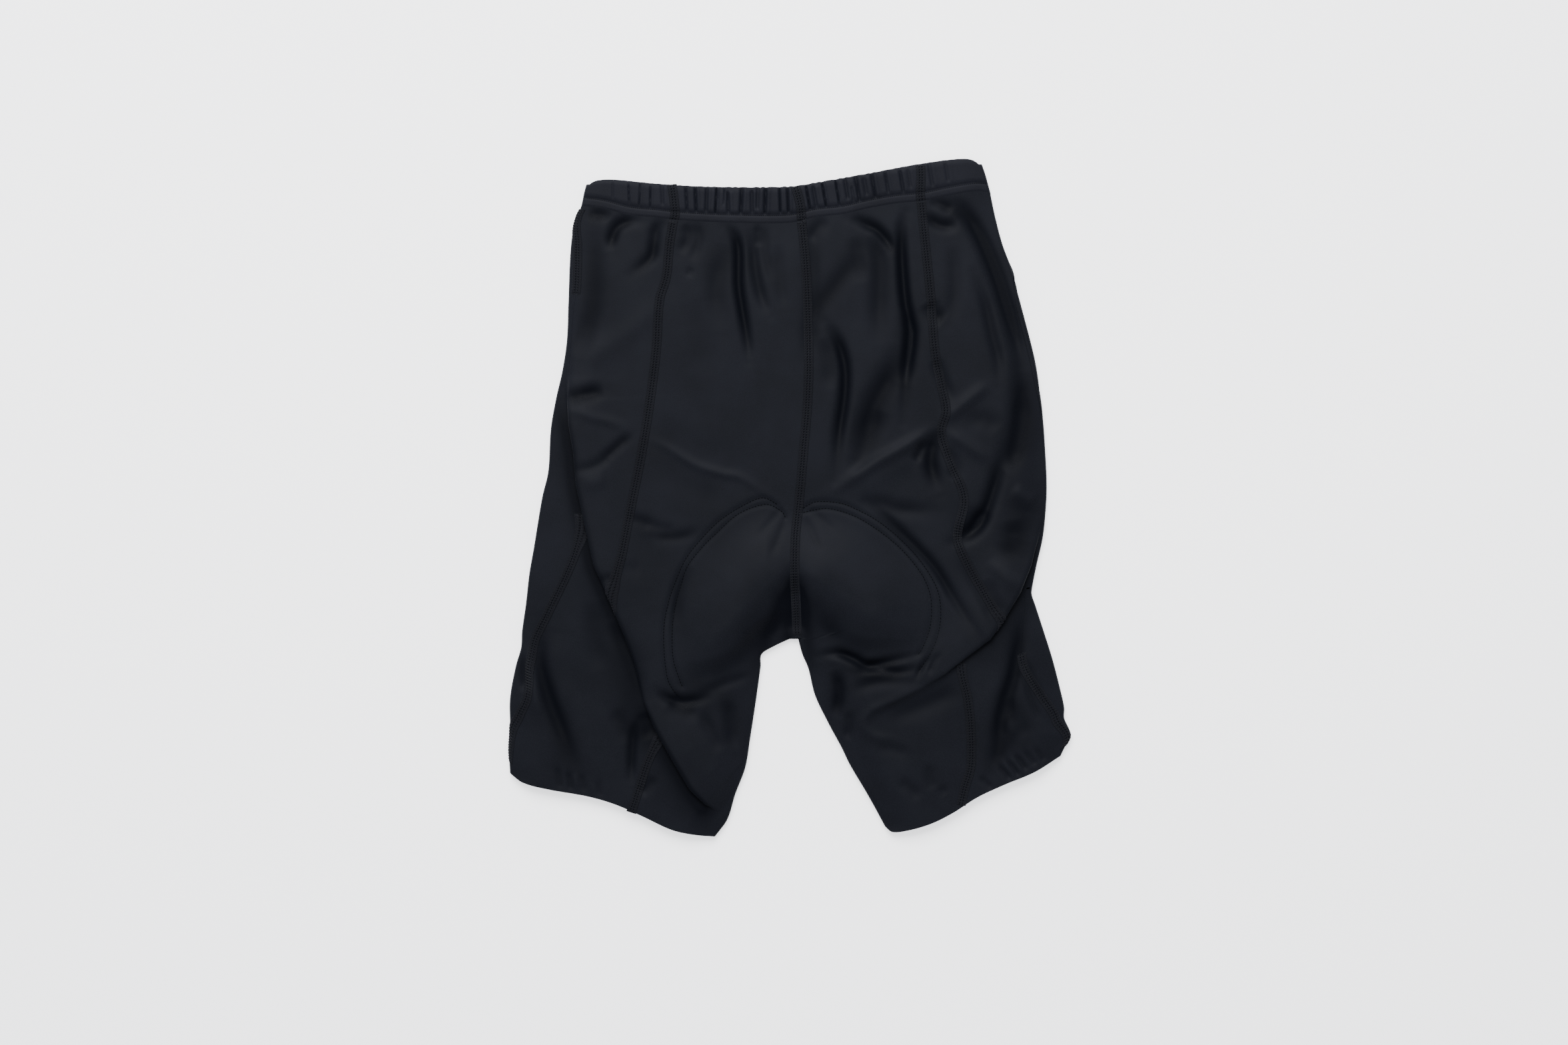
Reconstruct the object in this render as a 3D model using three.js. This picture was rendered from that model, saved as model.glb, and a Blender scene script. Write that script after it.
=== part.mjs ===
import * as THREE from "three";

// Cycling shorts laid flat with the back side up. The waist points along +Y and the origin is under the middle.
// All sizes are in millimetres.

// Cloth
const CLOTH = 1.0;
const HEM_CLOTH = 1.9;
const HEM_DEPTH = 16;
const SEAM_GAP = 0.6;
const CENTRE_GAP = 0.36;

// Heights of the outer face above the surface that the garment lies on
const REST_HEIGHT = 5.0;
const PUFF = 3.4;
const PUFF_REACH = 24;
const LOWEST_TOP = 3.6;

// Round of the cloth at the outer edges and at the inner legs
const TURN_RADIUS = 2.5;
const TURN_ARC = Math.PI * TURN_RADIUS;

// Inseam, under the inner leg
const INSEAM_WRAP = 9;
const INSEAM_GROWTH = 60;
const CROTCH_GAP = 2.4;

// Seat pad
const PAD_RISE = 8.8;
const PAD_SHOULDER = 50;
const PAD_LOWER_SHOULDER = 16;
const PAD_FALL = 0.8;
const PAD_FALL_REACH = 32;
const PAD_GROOVE = 0.4;
const PAD_GROOVE_WIDTH = 11;
const PAD_GROOVE_TOP = -20;
const PAD_GROOVE_GROWTH = 60;
const PAD_CLEARANCE = 2.0;
const PAD_FLOOR = 1.5;
const PAD_SPOKES = 38;
const PAD_RINGS = [0.26, 0.52, 0.76, 0.9, 1];

// Waistband
const BAND_CLOTH = 2.2;
const BAND_HEIGHT = 5.2;
const BAND_GAP = 0.9;
const BAND_FLAT = 6.5;
const BAND_UNDER_COLUMNS = 12;
const BAND_TURN_COLUMNS = 5;
const BAND_LEVELS = [0, 0.27, 0.5, 1];
const GATHER_DEPTH = 0.75;
const GATHER_WIDTH = 1.5;
const GATHER_COLUMNS = [-2.5, -0.8, 0.8, 2.5];

// Mesh counts
const ROWS = 45;
const FRONT_COLUMNS = 10;
const SIDE_COLUMNS = 10;
const BACK_COLUMNS = 14;

// Levels of the rows: waistband edge, crotch, hem
const CROTCH_ROW = 0.68;

const table = (names, rows) => {
  const keys = names.split(" ");
  return rows.map((row) => Object.fromEntries(keys.map((key, i) => [key, row[i]])));
};

// Outer edges from the waistband to the hem
const OUTER_LEFT = table("y x", [
  [218, -155.8], [211, -159.5], [199, -162.4], [180, -164.3], [145, -165.6], [117, -166.8], [94, -170.3],
  [76, -174.5], [52, -178.7], [20, -180.7], [0, -185.3], [-38, -191.6], [-57, -194.9], [-80, -197.5],
  [-100, -200.3], [-112, -201], [-126, -205], [-150, -209.3], [-172, -209.3], [-190, -210], [-206, -209.3],
]);
const OUTER_RIGHT = table("y x", [
  [228, 150.6], [210, 154.4], [190, 159.7], [170, 167], [150, 171.9], [120, 180], [100, 184.5], [80, 187.5],
  [60, 190], [40, 191.5], [10, 192.9], [-10, 192.1], [-30, 189.9], [-50, 185.4], [-66, 182.2], [-72, 181.6],
  [-80, 184.2], [-100, 190.7], [-120, 197], [-140, 202.2], [-157, 206], [-165, 206], [-174, 210],
  [-179, 210.4], [-186, 206.8], [-193, 203.4],
]);

// Centre back seam, and the inner legs below it
const CENTRE_SEAM = table("y x", [
  [205, 9.3], [178, 12], [150, 13.5], [100, 14.5], [70, 13.5], [40, 11], [0, 7.5], [-30, 4.5], [-60, 4],
  [-80, 5], [-105, 6],
]);
const INNER_LEFT = table("y x", [
  [-105, 2], [-110.6, -10.2], [-116.8, -20.4], [-126, -21.4], [-151, -24.8], [-181, -29.4], [-202, -32.9],
  [-222, -40.4], [-241, -46.4], [-253.6, -55.5],
]);
const INNER_RIGHT = table("y x", [
  [-105, 6.4], [-117, 9.6], [-127.6, 14.1], [-148, 19.2], [-170, 29.8], [-187, 39], [-200, 45.3], [-219, 56.6],
  [-231, 63.4], [-246, 71.5],
]);

// Lower edge of the waistband, and the hems
const BAND_EDGE = table("x y", [
  [-155.8, 218], [-140, 216], [-120, 211], [-100, 209], [-80, 206.8], [-40, 205], [0, 205], [20, 209.3],
  [40, 211.5], [60, 216], [80, 219.5], [100, 221.5], [120, 225.6], [140, 228.8], [150.6, 228.2],
]);
const BAND_TOP = table("x y", [
  [-152.2, 236.5], [-135, 238.3], [-100, 235.2], [-60, 232.9], [0, 233], [20, 236], [60, 243], [95, 249.5],
  [130, 253.8], [144.4, 251.4],
]);
const HEM_LEFT = table("x y", [
  [-209.3, -206], [-200, -212.8], [-180, -218], [-150, -223.4], [-130, -229.3], [-110, -238], [-88, -248.2],
  [-70, -252.2], [-55.5, -253.6],
]);
const HEM_RIGHT = table("x y", [
  [71.5, -246], [77, -250.1], [90, -248.4], [107, -243.2], [123, -235.1], [140, -224.2], [160, -214.8],
  [183, -205.2], [203.4, -193],
]);

// Back-side seams, and how far the front-side seams lie from the outer edge (under it where negative)
const BACK_SEAM_LEFT = table("y x", [
  [207.8, -86.5], [190, -89.5], [165, -92], [148, -97], [110, -99.5], [70, -104.5], [30, -111], [0, -117],
  [-40, -124.5], [-64, -129.5], [-90, -127], [-130, -114], [-160, -105], [-180, -99.8], [-200, -106.8],
  [-236, -118.5],
]);
const BACK_SEAM_RIGHT = table("y x", [
  [221.4, 98.5], [190, 101.5], [150, 105.6], [110, 108.7], [85, 113.4], [65, 117], [50, 113.4], [30, 118.8],
  [0, 130.4], [-30, 125.5], [-50, 133.2], [-80, 150.5], [-91, 155.2], [-98, 154.6], [-105, 150.6],
  [-112, 143.4], [-126, 130], [-150, 133.2],
  [-170, 135.4], [-200, 135.5], [-218, 130.7], [-232, 127.5],
]);
const FRONT_SEAM_LEFT = table("y inset", [
  [218, 0.8], [205, 1.6], [190, 5], [160, 6], [127, 3.5], [90, 5.5], [75, 8], [60, 12.5], [45, 17.7],
  [10, 23.7], [-20, 32], [-50, 27.7], [-80, 17.5], [-110, 9], [-142, 13], [-158, 8], [-172, 2], [-190, 0],
  [-206, -2],
]);
const FRONT_SEAM_RIGHT = table("y inset", [
  [228, -14], [180, -7], [145, 0], [95, 0], [40, -5], [-40, -4], [-66, 2], [-90, 13], [-115, 22],
  [-140, 15.5], [-165, 6], [-181, 2], [-193, 0.5],
]);

// Overlapping folds, from the hip down. The upper cloth lies on the side toward the centre.
// lift is the step in height, and overlap is how far the step leans over, 0 for a plain step.
const FOLD_WIDTH = 5;
const FOLD_DECAY = 20;
const FOLD_REMAINS = 0.22;
const FOLD_FADE = 110;
const FOLD_LEFT = table("x y lift overlap", [
  [-157, 182, 0, 0], [-160.5, 150, 1.2, 0], [-164.5, 118, 1.4, 0], [-165.4, 92, 2.4, 0.2],
  [-166, 72, 4.4, 0.8], [-163.5, 55, 5, 1.4], [-159.5, 34, 5, 1.3], [-157.5, 10, 5.2, 1.3],
  [-151, -20, 5.2, 1.3], [-144.5, -50, 5.2, 1.3], [-133, -75, 5.2, 1.3], [-124, -99, 4.6, 1.3],
  [-115.5, -125, 3.6, 0.8], [-109, -152, 3.4, 0.8], [-99.5, -172, 4.6, 1.4], [-86, -195, 5, 1.3],
  [-73, -217, 4.6, 1.3], [-62, -229, 3, 0.8], [-52, -236, 0, 0],
]);
const FOLD_RIGHT = table("x y lift overlap", [
  [190.5, -14, 0, 0], [185.5, -34, 2.6, 0.6], [180, -50, 4, 1.2], [171, -70, 5, 1.3], [159, -90, 5.2, 1.3],
  [149, -105, 5, 1.3], [132, -119, 4, 1], [116, -132.5, 3, 0.7], [99, -142, 2.4, 0.4],
  [79, -152, 2.2, 0.3], [63, -159, 1.4, 0.1], [52, -165, 0, 0],
]);

// Line of the seat pad, a little inside its outer stitching
const PAD_UPPER = table("x y", [
  [94, -120], [104, -104], [107, -86], [104, -68], [92, -46], [72, -27], [50, -13], [24, -8], [4, -12],
  [-16, -6], [-36, -12], [-56, -27], [-72, -46], [-83, -72], [-88, -100], [-86.5, -124], [-80, -140],
]);
const PAD_LOWER = table("x y", [
  [-66, -137], [-46, -131], [-30, -121], [-16, -106], [2, -96], [16, -105], [32, -113], [54, -118],
  [76, -120],
]);

// Ridge of the two lobes, below which the pad falls away to the crotch
const PAD_RIDGE = table("x y", [
  [-106, -156], [-62, -108], [-30, -77], [-8, -56], [2, -47], [12, -53], [34, -67], [66, -90], [112, -124],
]);

// Largest creases. A negative depth is a ridge.
const CREASES = [
  {
    name: "left_side_hollow",
    width: 10,
    depth: 1.9,
    path: [[-145, 206], [-146, 150], [-149, 130], [-158, 108]],
  },
  {
    name: "left_side_hook",
    width: 7,
    depth: 2.0,
    path: [[-108, 207], [-124, 205], [-132, 195], [-133, 184]],
  },
  { name: "left_side_facet", width: 9, depth: -1.0, path: [[-154, 103], [-136, 112], [-110, 134]] },
  { name: "left_hip_wedge", width: 7, depth: 2.6, path: [[-164, 75], [-152, 77], [-136, 81]] },
  {
    name: "left_ridge",
    width: 8,
    depth: -1.6,
    path: [[-160, 66], [-135, 56], [-112, 48], [-80, 29], [-45, 17], [-12, -3]],
  },
  { name: "left_hip_stroke", width: 7, depth: 1.6, path: [[-118, 47], [-134, 33], [-154, 22]] },
  { name: "left_under_ridge", width: 10, depth: 1.2, path: [[-100, 30], [-80, 14], [-58, 4]] },
  { name: "left_thigh_tuck", width: 7, depth: 1.9, path: [[-118, -18], [-98, -28], [-68, -25]] },
  {
    name: "waist_left_strong",
    width: 7,
    depth: 2.5,
    path: [[-47, 202], [-39, 188], [-37, 160], [-33, 130], [-30, 105]],
  },
  { name: "waist_left_mid", width: 6, depth: 1.7, path: [[-26, 203], [-24, 180], [-20, 155], [-15, 138]] },
  { name: "waist_left_wide", width: 8, depth: 1.3, path: [[-56, 170], [-53, 150], [-49, 124]] },
  {
    name: "waist_left_outer",
    width: 7,
    depth: 2.2,
    path: [[-92, 206], [-101, 192], [-105, 178], [-120, 167]],
  },
  { name: "waist_right_strong", width: 7, depth: 2.2, path: [[44, 209], [62, 204], [73, 194], [80, 178]] },
  { name: "waist_right_diagonal", width: 10, depth: 1.6, path: [[50, 180], [32, 154], [14, 126]] },
  { name: "right_upper_wide", width: 9, depth: 1.8, path: [[60, 196], [68, 162], [67, 112]] },
  {
    name: "right_long",
    width: 7,
    depth: 2.9,
    path: [[87, 213], [84, 180], [87, 145], [91, 120], [87, 90], [85, 55]],
  },
  { name: "right_middle", width: 7, depth: 2.7, path: [[28, 130], [39, 112], [42, 90], [39, 62], [35, 14]] },
  { name: "right_wide", width: 12, depth: 2.0, path: [[78, 114], [70, 88], [58, 55], [52, 28]] },
  { name: "right_ridge", width: 9, depth: -1.5, path: [[104, 50], [78, 34], [52, 18], [24, 1]] },
  { name: "right_knee_wedge", width: 7, depth: 2.2, path: [[108, 46], [107, 24], [112, 4]] },
  {
    name: "beside_pad",
    width: 7,
    depth: 2.4,
    path: [[60, -5], [86, -29], [106, -50], [119, -70], [132, -92], [143, -108]],
  },
  { name: "under_right_ridge", width: 8, depth: 1.4, path: [[56, -1], [80, -8], [112, -10]] },
  { name: "right_side_top", width: 7, depth: 1.8, path: [[102, 214], [112, 204], [124, 204]] },
  {
    name: "right_side_long",
    width: 9,
    depth: 3.1,
    path: [[118, 223], [138, 202], [155, 166], [167, 132], [173, 98], [172, 62], [164, 32]],
  },
  { name: "right_side_short", width: 7, depth: 1.8, path: [[138, 168], [148, 138], [155, 110], [156, 84]] },
  { name: "right_side_blob", width: 8, depth: 1.6, path: [[103, 144], [112, 133]] },
  { name: "right_side_facet", width: 9, depth: -1.2, path: [[116, 56], [134, 70], [152, 86]] },
  { name: "right_hip_edge", width: 8, depth: 2.9, path: [[157, 34], [151, 4], [143, -18], [122, -33]] },
  {
    name: "right_leg_deep",
    width: 8,
    depth: 2.8,
    path: [[173, -94], [168, -128], [160, -156], [154, -180], [149, -206]],
  },
  { name: "right_leg_upper", width: 7, depth: 1.8, path: [[50, -134], [66, -130], [100, -128]] },
  { name: "right_leg_inner", width: 7, depth: 1.7, path: [[34, -128], [37, -146], [33, -164]] },
  {
    name: "left_leg_wide",
    width: 9,
    depth: 2.6,
    path: [[-184, -95], [-187, -122], [-180, -152], [-168, -184], [-157, -206]],
  },
  { name: "left_leg_inner", width: 7, depth: 2.4, path: [[-130, -158], [-119, -176], [-116, -212]] },
  {
    name: "under_left_lobe",
    width: 8,
    depth: 2.6,
    path: [[-97, -146], [-82, -153], [-60, -151], [-34, -142]],
  },
];

// Middles of the gathers in the waistband, along X
const GATHERS = [
  -120, -112, -104, -95, -77, -70, -62, -55, -46, -36, -28, -20, -7, -1, 12, 18, 25, 36, 43, 51, 57, 64, 73,
  84, 106, 118,
];

const clamp = (value, low, high) => Math.min(Math.max(value, low), high);
const mix = (a, b, t) => a + (b - a) * t;
const smooth = (t) => {
  const held = clamp(t, 0, 1);
  return held * held * (3 - 2 * held);
};
const bell = (t) => Math.exp(-t * t);

// A smooth curve through a table's rows: one column as a function of another
function follow(rows, from, to) {
  const points = rows.map((row) => [row[from], row[to]]).sort((a, b) => a[0] - b[0]);
  const last = points.length - 1;
  const slopes = points.map((point, i) => {
    const before = points[Math.max(i - 1, 0)];
    const after = points[Math.min(i + 1, last)];
    return (after[1] - before[1]) / (after[0] - before[0]);
  });
  return (value) => {
    let i = 0;
    while (i < last - 1 && value > points[i + 1][0]) i += 1;
    const span = points[i + 1][0] - points[i][0];
    const t = clamp((value - points[i][0]) / span, 0, 1);
    const rise = smooth(t);
    const start = t * (1 - t) * (1 - t) * slopes[i] * span;
    const end = t * t * (t - 1) * slopes[i + 1] * span;
    return mix(points[i][1], points[i + 1][1], rise) + start + end;
  };
}

const centreSeam = follow(CENTRE_SEAM, "y", "x");

const HALVES = {
  left: {
    side: -1,
    outer: follow(OUTER_LEFT, "y", "x"),
    inner: follow(INNER_LEFT, "y", "x"),
    hem: follow(HEM_LEFT, "x", "y"),
    backSeam: follow(BACK_SEAM_LEFT, "y", "x"),
    frontSeam: follow(FRONT_SEAM_LEFT, "y", "inset"),
    outerLevels: { waist: 217.6, crotch: -62, hem: -206 },
    innerLevels: { waist: 206.4, crotch: -105, hem: -253.6 },
    foldRows: { middle: 0.6, spread: 0.001, weight: 0 },
  },
  right: {
    side: 1,
    outer: follow(OUTER_RIGHT, "y", "x"),
    inner: follow(INNER_RIGHT, "y", "x"),
    hem: follow(HEM_RIGHT, "x", "y"),
    backSeam: follow(BACK_SEAM_RIGHT, "y", "x"),
    frontSeam: follow(FRONT_SEAM_RIGHT, "y", "inset"),
    outerLevels: { waist: 227.8, crotch: -48, hem: -193 },
    innerLevels: { waist: 206.4, crotch: -105, hem: -246 },
    foldRows: { middle: 0.8, spread: 0.07, weight: 1.1 },
  },
};

const bandEdge = follow(BAND_EDGE, "x", "y");
const bandTop = follow(BAND_TOP, "x", "y");

// Height along an edge at row v: even steps above the crotch, and even steps below it
function level(levels, v) {
  if (v <= CROTCH_ROW) return mix(levels.waist, levels.crotch, v / CROTCH_ROW);
  return mix(levels.crotch, levels.hem, (v - CROTCH_ROW) / (1 - CROTCH_ROW));
}

const isLeg = (v) => v > CROTCH_ROW;

// The two ends of row v, seen from above
function rowEnds(half, v) {
  const outerY = level(half.outerLevels, v);
  const innerY = level(half.innerLevels, v);
  const innerX = isLeg(v) ? half.inner(innerY) : centreSeam(innerY) + half.side * CENTRE_GAP / 2;
  const start = new THREE.Vector2(half.outer(outerY), outerY);
  const end = new THREE.Vector2(innerX, innerY);
  return { start, end, length: start.distanceTo(end) };
}

// How far a bent edge leaves the straight line between its ends
function bend(edge, startX, endX, s) {
  return edge(mix(startX, endX, s)) - mix(edge(startX), edge(endX), s);
}

// Point of row v at share s from the outer edge to the inner one, seen from above
function planPoint(half, v, s, ends) {
  const { start, end } = ends;
  const waistStart = half.outer(half.outerLevels.waist);
  const hemStart = half.outer(half.outerLevels.hem);
  const waistBend = bend(bandEdge, waistStart, centreSeam(half.innerLevels.waist), s);
  const hemBend = bend(half.hem, hemStart, half.inner(half.innerLevels.hem), s);
  return new THREE.Vector2(
    mix(start.x, end.x, s),
    mix(start.y, end.y, s) + (1 - v) * waistBend + v * v * hemBend,
  );
}

// Distance, place and side of a point against a path; corners of the path are rounded by mixing its normals
function nearest(path, x, y) {
  let best = { distance: Infinity };
  path.pieces.forEach((piece, i) => {
    const t = clamp(((x - piece.ax) * piece.dx + (y - piece.ay) * piece.dy) / piece.square, 0, 1);
    const footX = piece.ax + piece.dx * t;
    const footY = piece.ay + piece.dy * t;
    const distance = Math.hypot(x - footX, y - footY);
    if (distance < best.distance) best = { distance, footX, footY, i, t };
  });
  const from = path.normals[best.i];
  const to = path.normals[best.i + 1];
  const normal = new THREE.Vector2(mix(from.x, to.x, best.t), mix(from.y, to.y, best.t)).normalize();
  const sign = (x - best.footX) * normal.x + (y - best.footY) * normal.y < 0 ? -1 : 1;
  return { ...best, normal, signed: best.distance * sign, along: (best.i + best.t) / path.pieces.length };
}

function makePath(points) {
  const pieces = points.slice(1).map(([bx, by], i) => {
    const [ax, ay] = points[i];
    const dx = bx - ax;
    const dy = by - ay;
    return { ax, ay, dx, dy, square: dx * dx + dy * dy };
  });
  const normals = points.map((point, i) => {
    const before = points[Math.max(i - 1, 0)];
    const after = points[Math.min(i + 1, points.length - 1)];
    return new THREE.Vector2(before[1] - after[1], after[0] - before[0]).normalize();
  });
  return { pieces, normals };
}

// A rounded path through a few points, with steps short enough for smooth cloth
function roundedPath(points, steps, closed = false) {
  const curve = new THREE.CatmullRomCurve3(
    points.map(([x, y]) => new THREE.Vector3(x, y, 0)),
    closed,
    "centripetal",
  );
  return makePath(curve.getPoints(steps).map((point) => [point.x, point.y]));
}

// Outer and inner edges as paths, for the distance to the nearest edge
function edgePath(curve, from, to, steps) {
  const points = Array.from({ length: steps + 1 }, (unused, i) => {
    const y = mix(from, to, i / steps);
    return [curve(y), y];
  });
  return makePath(points);
}

const EDGE_PATHS = [
  edgePath(HALVES.left.outer, 240, -206, 60),
  edgePath(HALVES.right.outer, 250, -193, 60),
  edgePath(HALVES.left.inner, -105, -253.6, 24),
  edgePath(HALVES.right.inner, -105, -246, 24),
];

const edgeDistance = (x, y) => Math.min(...EDGE_PATHS.map((path) => nearest(path, x, y).distance));

const CREASE_PATHS = CREASES.map((crease) => ({ ...crease, path: roundedPath(crease.path, 14) }));

function creaseDepth(x, y) {
  return CREASE_PATHS.reduce((sum, crease) => {
    const place = nearest(crease.path, x, y);
    const taper = smooth(Math.min(place.along, 1 - place.along) / 0.3);
    return sum + crease.depth * bell(place.distance / crease.width) * mix(0.15, 1, taper);
  }, 0);
}

// The folds, with the side of the upper cloth: toward the centre of the garment
const FOLDS = [
  { rows: FOLD_LEFT, side: 1 },
  { rows: FOLD_RIGHT, side: -1 },
].map(({ rows, side }) => {
  const points = rows.map((row) => [row.x, row.y]);
  const path = makePath(points);
  path.normals.forEach((normal) => normal.multiplyScalar(Math.sign(normal.x) * side));
  return { rows, path };
});

function foldAt(fold, x, y) {
  const place = nearest(fold.path, x, y);
  const from = fold.rows[place.i];
  const to = fold.rows[place.i + 1];
  return {
    signed: place.signed,
    normal: place.normal,
    lift: mix(from.lift, to.lift, place.t),
    overlap: mix(from.overlap, to.overlap, place.t),
  };
}

function foldLift(x, y) {
  return FOLDS.reduce((sum, fold) => {
    const place = foldAt(fold, x, y);
    const step = smooth((place.signed / (1.1 * FOLD_WIDTH) + 1) / 2);
    const beyond = Math.max(place.signed - FOLD_WIDTH, 0) / FOLD_DECAY;
    const remains = FOLD_REMAINS * smooth(1 - (place.signed - FOLD_WIDTH) / FOLD_FADE);
    return sum + place.lift * step * mix(remains, 1, bell(beyond));
  }, 0);
}

// The overlap moves cloth near a fold across it, so that the step leans over
function foldShift(x, y) {
  return FOLDS.reduce((shift, fold) => {
    const place = foldAt(fold, x, y);
    const move = -place.overlap * place.signed * bell(place.signed / FOLD_WIDTH);
    return shift.addScaledVector(place.normal, move);
  }, new THREE.Vector2(0, 0));
}

const PAD_PATH = roundedPath([...PAD_UPPER, ...PAD_LOWER].map((row) => [row.x, row.y]), 90, true);
const PAD_UPPER_PATH = roundedPath(PAD_UPPER.map((row) => [row.x, row.y]), 60);
const PAD_LOWER_PATH = roundedPath([PAD_UPPER.at(-1), ...PAD_LOWER, PAD_UPPER[0]].map((row) => [row.x, row.y]), 40);
const PAD_RIDGE_PATH = roundedPath(PAD_RIDGE.map((row) => [row.x, row.y]), 32);
const PAD_MIDDLE = { x: 5, y: -62 };

function insidePad(x, y) {
  const crossings = PAD_PATH.pieces.filter((piece) => {
    const endY = piece.ay + piece.dy;
    const spans = piece.ay > y !== endY > y;
    return spans && x < piece.ax + (piece.dx * (y - piece.ay)) / piece.dy;
  });
  return crossings.length % 2 === 1;
}

function padRise(x, y) {
  if (!insidePad(x, y)) return 0;
  const upper = smooth(nearest(PAD_UPPER_PATH, x, y).distance / PAD_SHOULDER);
  const lower = smooth(nearest(PAD_LOWER_PATH, x, y).distance / PAD_LOWER_SHOULDER);
  const below = Math.max(-nearest(PAD_RIDGE_PATH, x, y).signed, 0);
  const deep = smooth((PAD_GROOVE_TOP - y) / PAD_GROOVE_GROWTH);
  const groove = PAD_GROOVE * bell((x - centreSeam(y)) / PAD_GROOVE_WIDTH) * deep;
  return PAD_RISE * upper * lower * (1 - PAD_FALL * smooth(below / PAD_FALL_REACH)) * (1 - groove);
}

// Height of the upper layer's outer face
function topHeight(x, y) {
  const edge = edgeDistance(x, y);
  const puff = PUFF * smooth(edge / PUFF_REACH);
  const creases = creaseDepth(x, y) * smooth(edge / 14);
  const height = REST_HEIGHT + puff + foldLift(x, y) * smooth(edge / 5) + padRise(x, y) - creases;
  return Math.max(height, LOWEST_TOP);
}

function topPoint(plan) {
  const shift = foldShift(plan.x, plan.y);
  return new THREE.Vector3(plan.x + shift.x, plan.y + shift.y, topHeight(plan.x, plan.y));
}

// How far the back panel runs on under the inner leg, from nothing at the crotch
function wrapLength(half, v) {
  if (!isLeg(v)) return 0;
  const below = half.innerLevels.crotch - level(half.innerLevels, v);
  return mix(1.5, INSEAM_WRAP, smooth(below / INSEAM_GROWTH));
}

// Ends of the cloth along row v. The way round is measured from the outer edge: + on top, - underneath.
function ringLimits(half, v, ends) {
  const flat = ends.length - TURN_RADIUS;
  const wrap = wrapLength(half, v);
  if (!isLeg(v)) return { low: -(TURN_ARC / 2 + flat), high: TURN_ARC / 2 + flat };
  return {
    low: -(TURN_ARC / 2 + flat - TURN_RADIUS - wrap - SEAM_GAP - CROTCH_GAP * bell((v - CROTCH_ROW) / 0.05)),
    high: TURN_ARC / 2 + flat - TURN_RADIUS + TURN_ARC + wrap,
  };
}

// Point of the outer face at a way round the row
function ringPoint(half, v, way, ends) {
  const half_arc = TURN_ARC / 2;
  const at = (distance) => planPoint(half, v, distance / ends.length, ends);
  const flat = (distance) => {
    const plan = at(distance);
    return new THREE.Vector3(plan.x, plan.y, 0);
  };
  if (way < -half_arc) return flat(TURN_RADIUS - way - half_arc);
  if (way < half_arc) {
    const angle = (way / half_arc) * (Math.PI / 2);
    const crest = topPoint(at(TURN_RADIUS));
    const plan = at(TURN_RADIUS * (1 - Math.cos(angle)));
    return new THREE.Vector3(plan.x, plan.y, (crest.z / 2) * (1 + Math.sin(angle)));
  }
  const distance = TURN_RADIUS + way - half_arc;
  const innerTurn = ends.length - TURN_RADIUS;
  if (!isLeg(v) || distance <= innerTurn) return topPoint(at(distance));
  const beyond = distance - innerTurn;
  if (beyond > TURN_ARC) return flat(innerTurn - (beyond - TURN_ARC));
  const angle = (beyond / TURN_ARC) * Math.PI;
  const crest = topPoint(at(innerTurn));
  const plan = at(innerTurn + TURN_RADIUS * Math.sin(angle));
  return new THREE.Vector3(plan.x, plan.y, (crest.z / 2) * (1 + Math.cos(angle)));
}

// Ways round a row where its columns stand: closer together at the turns and the folds
function spread(half, v, ends, from, to, count) {
  const samples = 160;
  const weights = Array.from({ length: samples }, (unused, i) => {
    const way = mix(from, to, (i + 0.5) / samples);
    const distance = TURN_RADIUS + way - TURN_ARC / 2;
    const outerTurn = bell(way / 5);
    const innerTurn = bell((ends.length - distance) / 7);
    const plan = planPoint(half, v, clamp(distance / ends.length, 0, 1), ends);
    const folds = way < 0 ? 0 : FOLDS.reduce((sum, fold) => {
      const place = foldAt(fold, plan.x, plan.y);
      return sum + bell(place.signed / 9) * Math.min(place.lift, 3) / 3;
    }, 0);
    const under = way < -10 || (isLeg(v) && distance > ends.length) ? 0.35 : 1;
    return under + 4.5 * outerTurn + 2.8 * innerTurn * (way > 0 ? 1 : 0.1) + 3 * folds;
  });
  const total = weights.reduce((sum, weight) => sum + weight, 0);
  const ways = [from];
  let passed = 0;
  let next = 1;
  weights.forEach((weight, i) => {
    while (next < count && passed + weight >= (total * next) / count) {
      const share = ((total * next) / count - passed) / weight;
      ways.push(mix(from, to, (i + share) / samples));
      next += 1;
    }
    passed += weight;
  });
  ways.push(to);
  return ways;
}

// Way round the row to a seam given by its X at each Y
function wayToSeam(half, v, ends) {
  let low = 0;
  let high = 1;
  for (let i = 0; i < 30; i += 1) {
    const middle = (low + high) / 2;
    const plan = planPoint(half, v, middle, ends);
    const beyond = half.side * (plan.x - half.backSeam(plan.y)) < 0;
    if (beyond) high = middle;
    else low = middle;
  }
  return low * ends.length - TURN_RADIUS + TURN_ARC / 2;
}

// Rows from the waistband to the hem, closer where a fold runs along them
function rowsOf(half) {
  const samples = 300;
  const weights = Array.from({ length: samples }, (unused, i) => {
    const v = (i + 0.5) / samples;
    const { middle, spread: reach, weight } = half.foldRows;
    const crotch = 0.8 * bell((v - CROTCH_ROW - 0.02) / 0.035);
    const hem = 1.2 * bell((v - 1) / 0.03);
    return 1 + weight * bell((v - middle) / reach) + crotch + hem;
  });
  const total = weights.reduce((sum, weight) => sum + weight, 0);
  const rows = [0];
  let passed = 0;
  weights.forEach((weight, i) => {
    while (rows.length < ROWS && passed + weight >= (total * rows.length) / ROWS) {
      rows.push((i + ((total * rows.length) / ROWS - passed) / weight) / samples);
    }
    passed += weight;
  });
  rows.push(1);
  const nearCrotch = rows.reduce((best, v, i) => {
    return Math.abs(v - CROTCH_ROW) < Math.abs(rows[best] - CROTCH_ROW) ? i : best;
  }, 1);
  rows[nearCrotch] = CROTCH_ROW;
  return rows;
}

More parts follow.
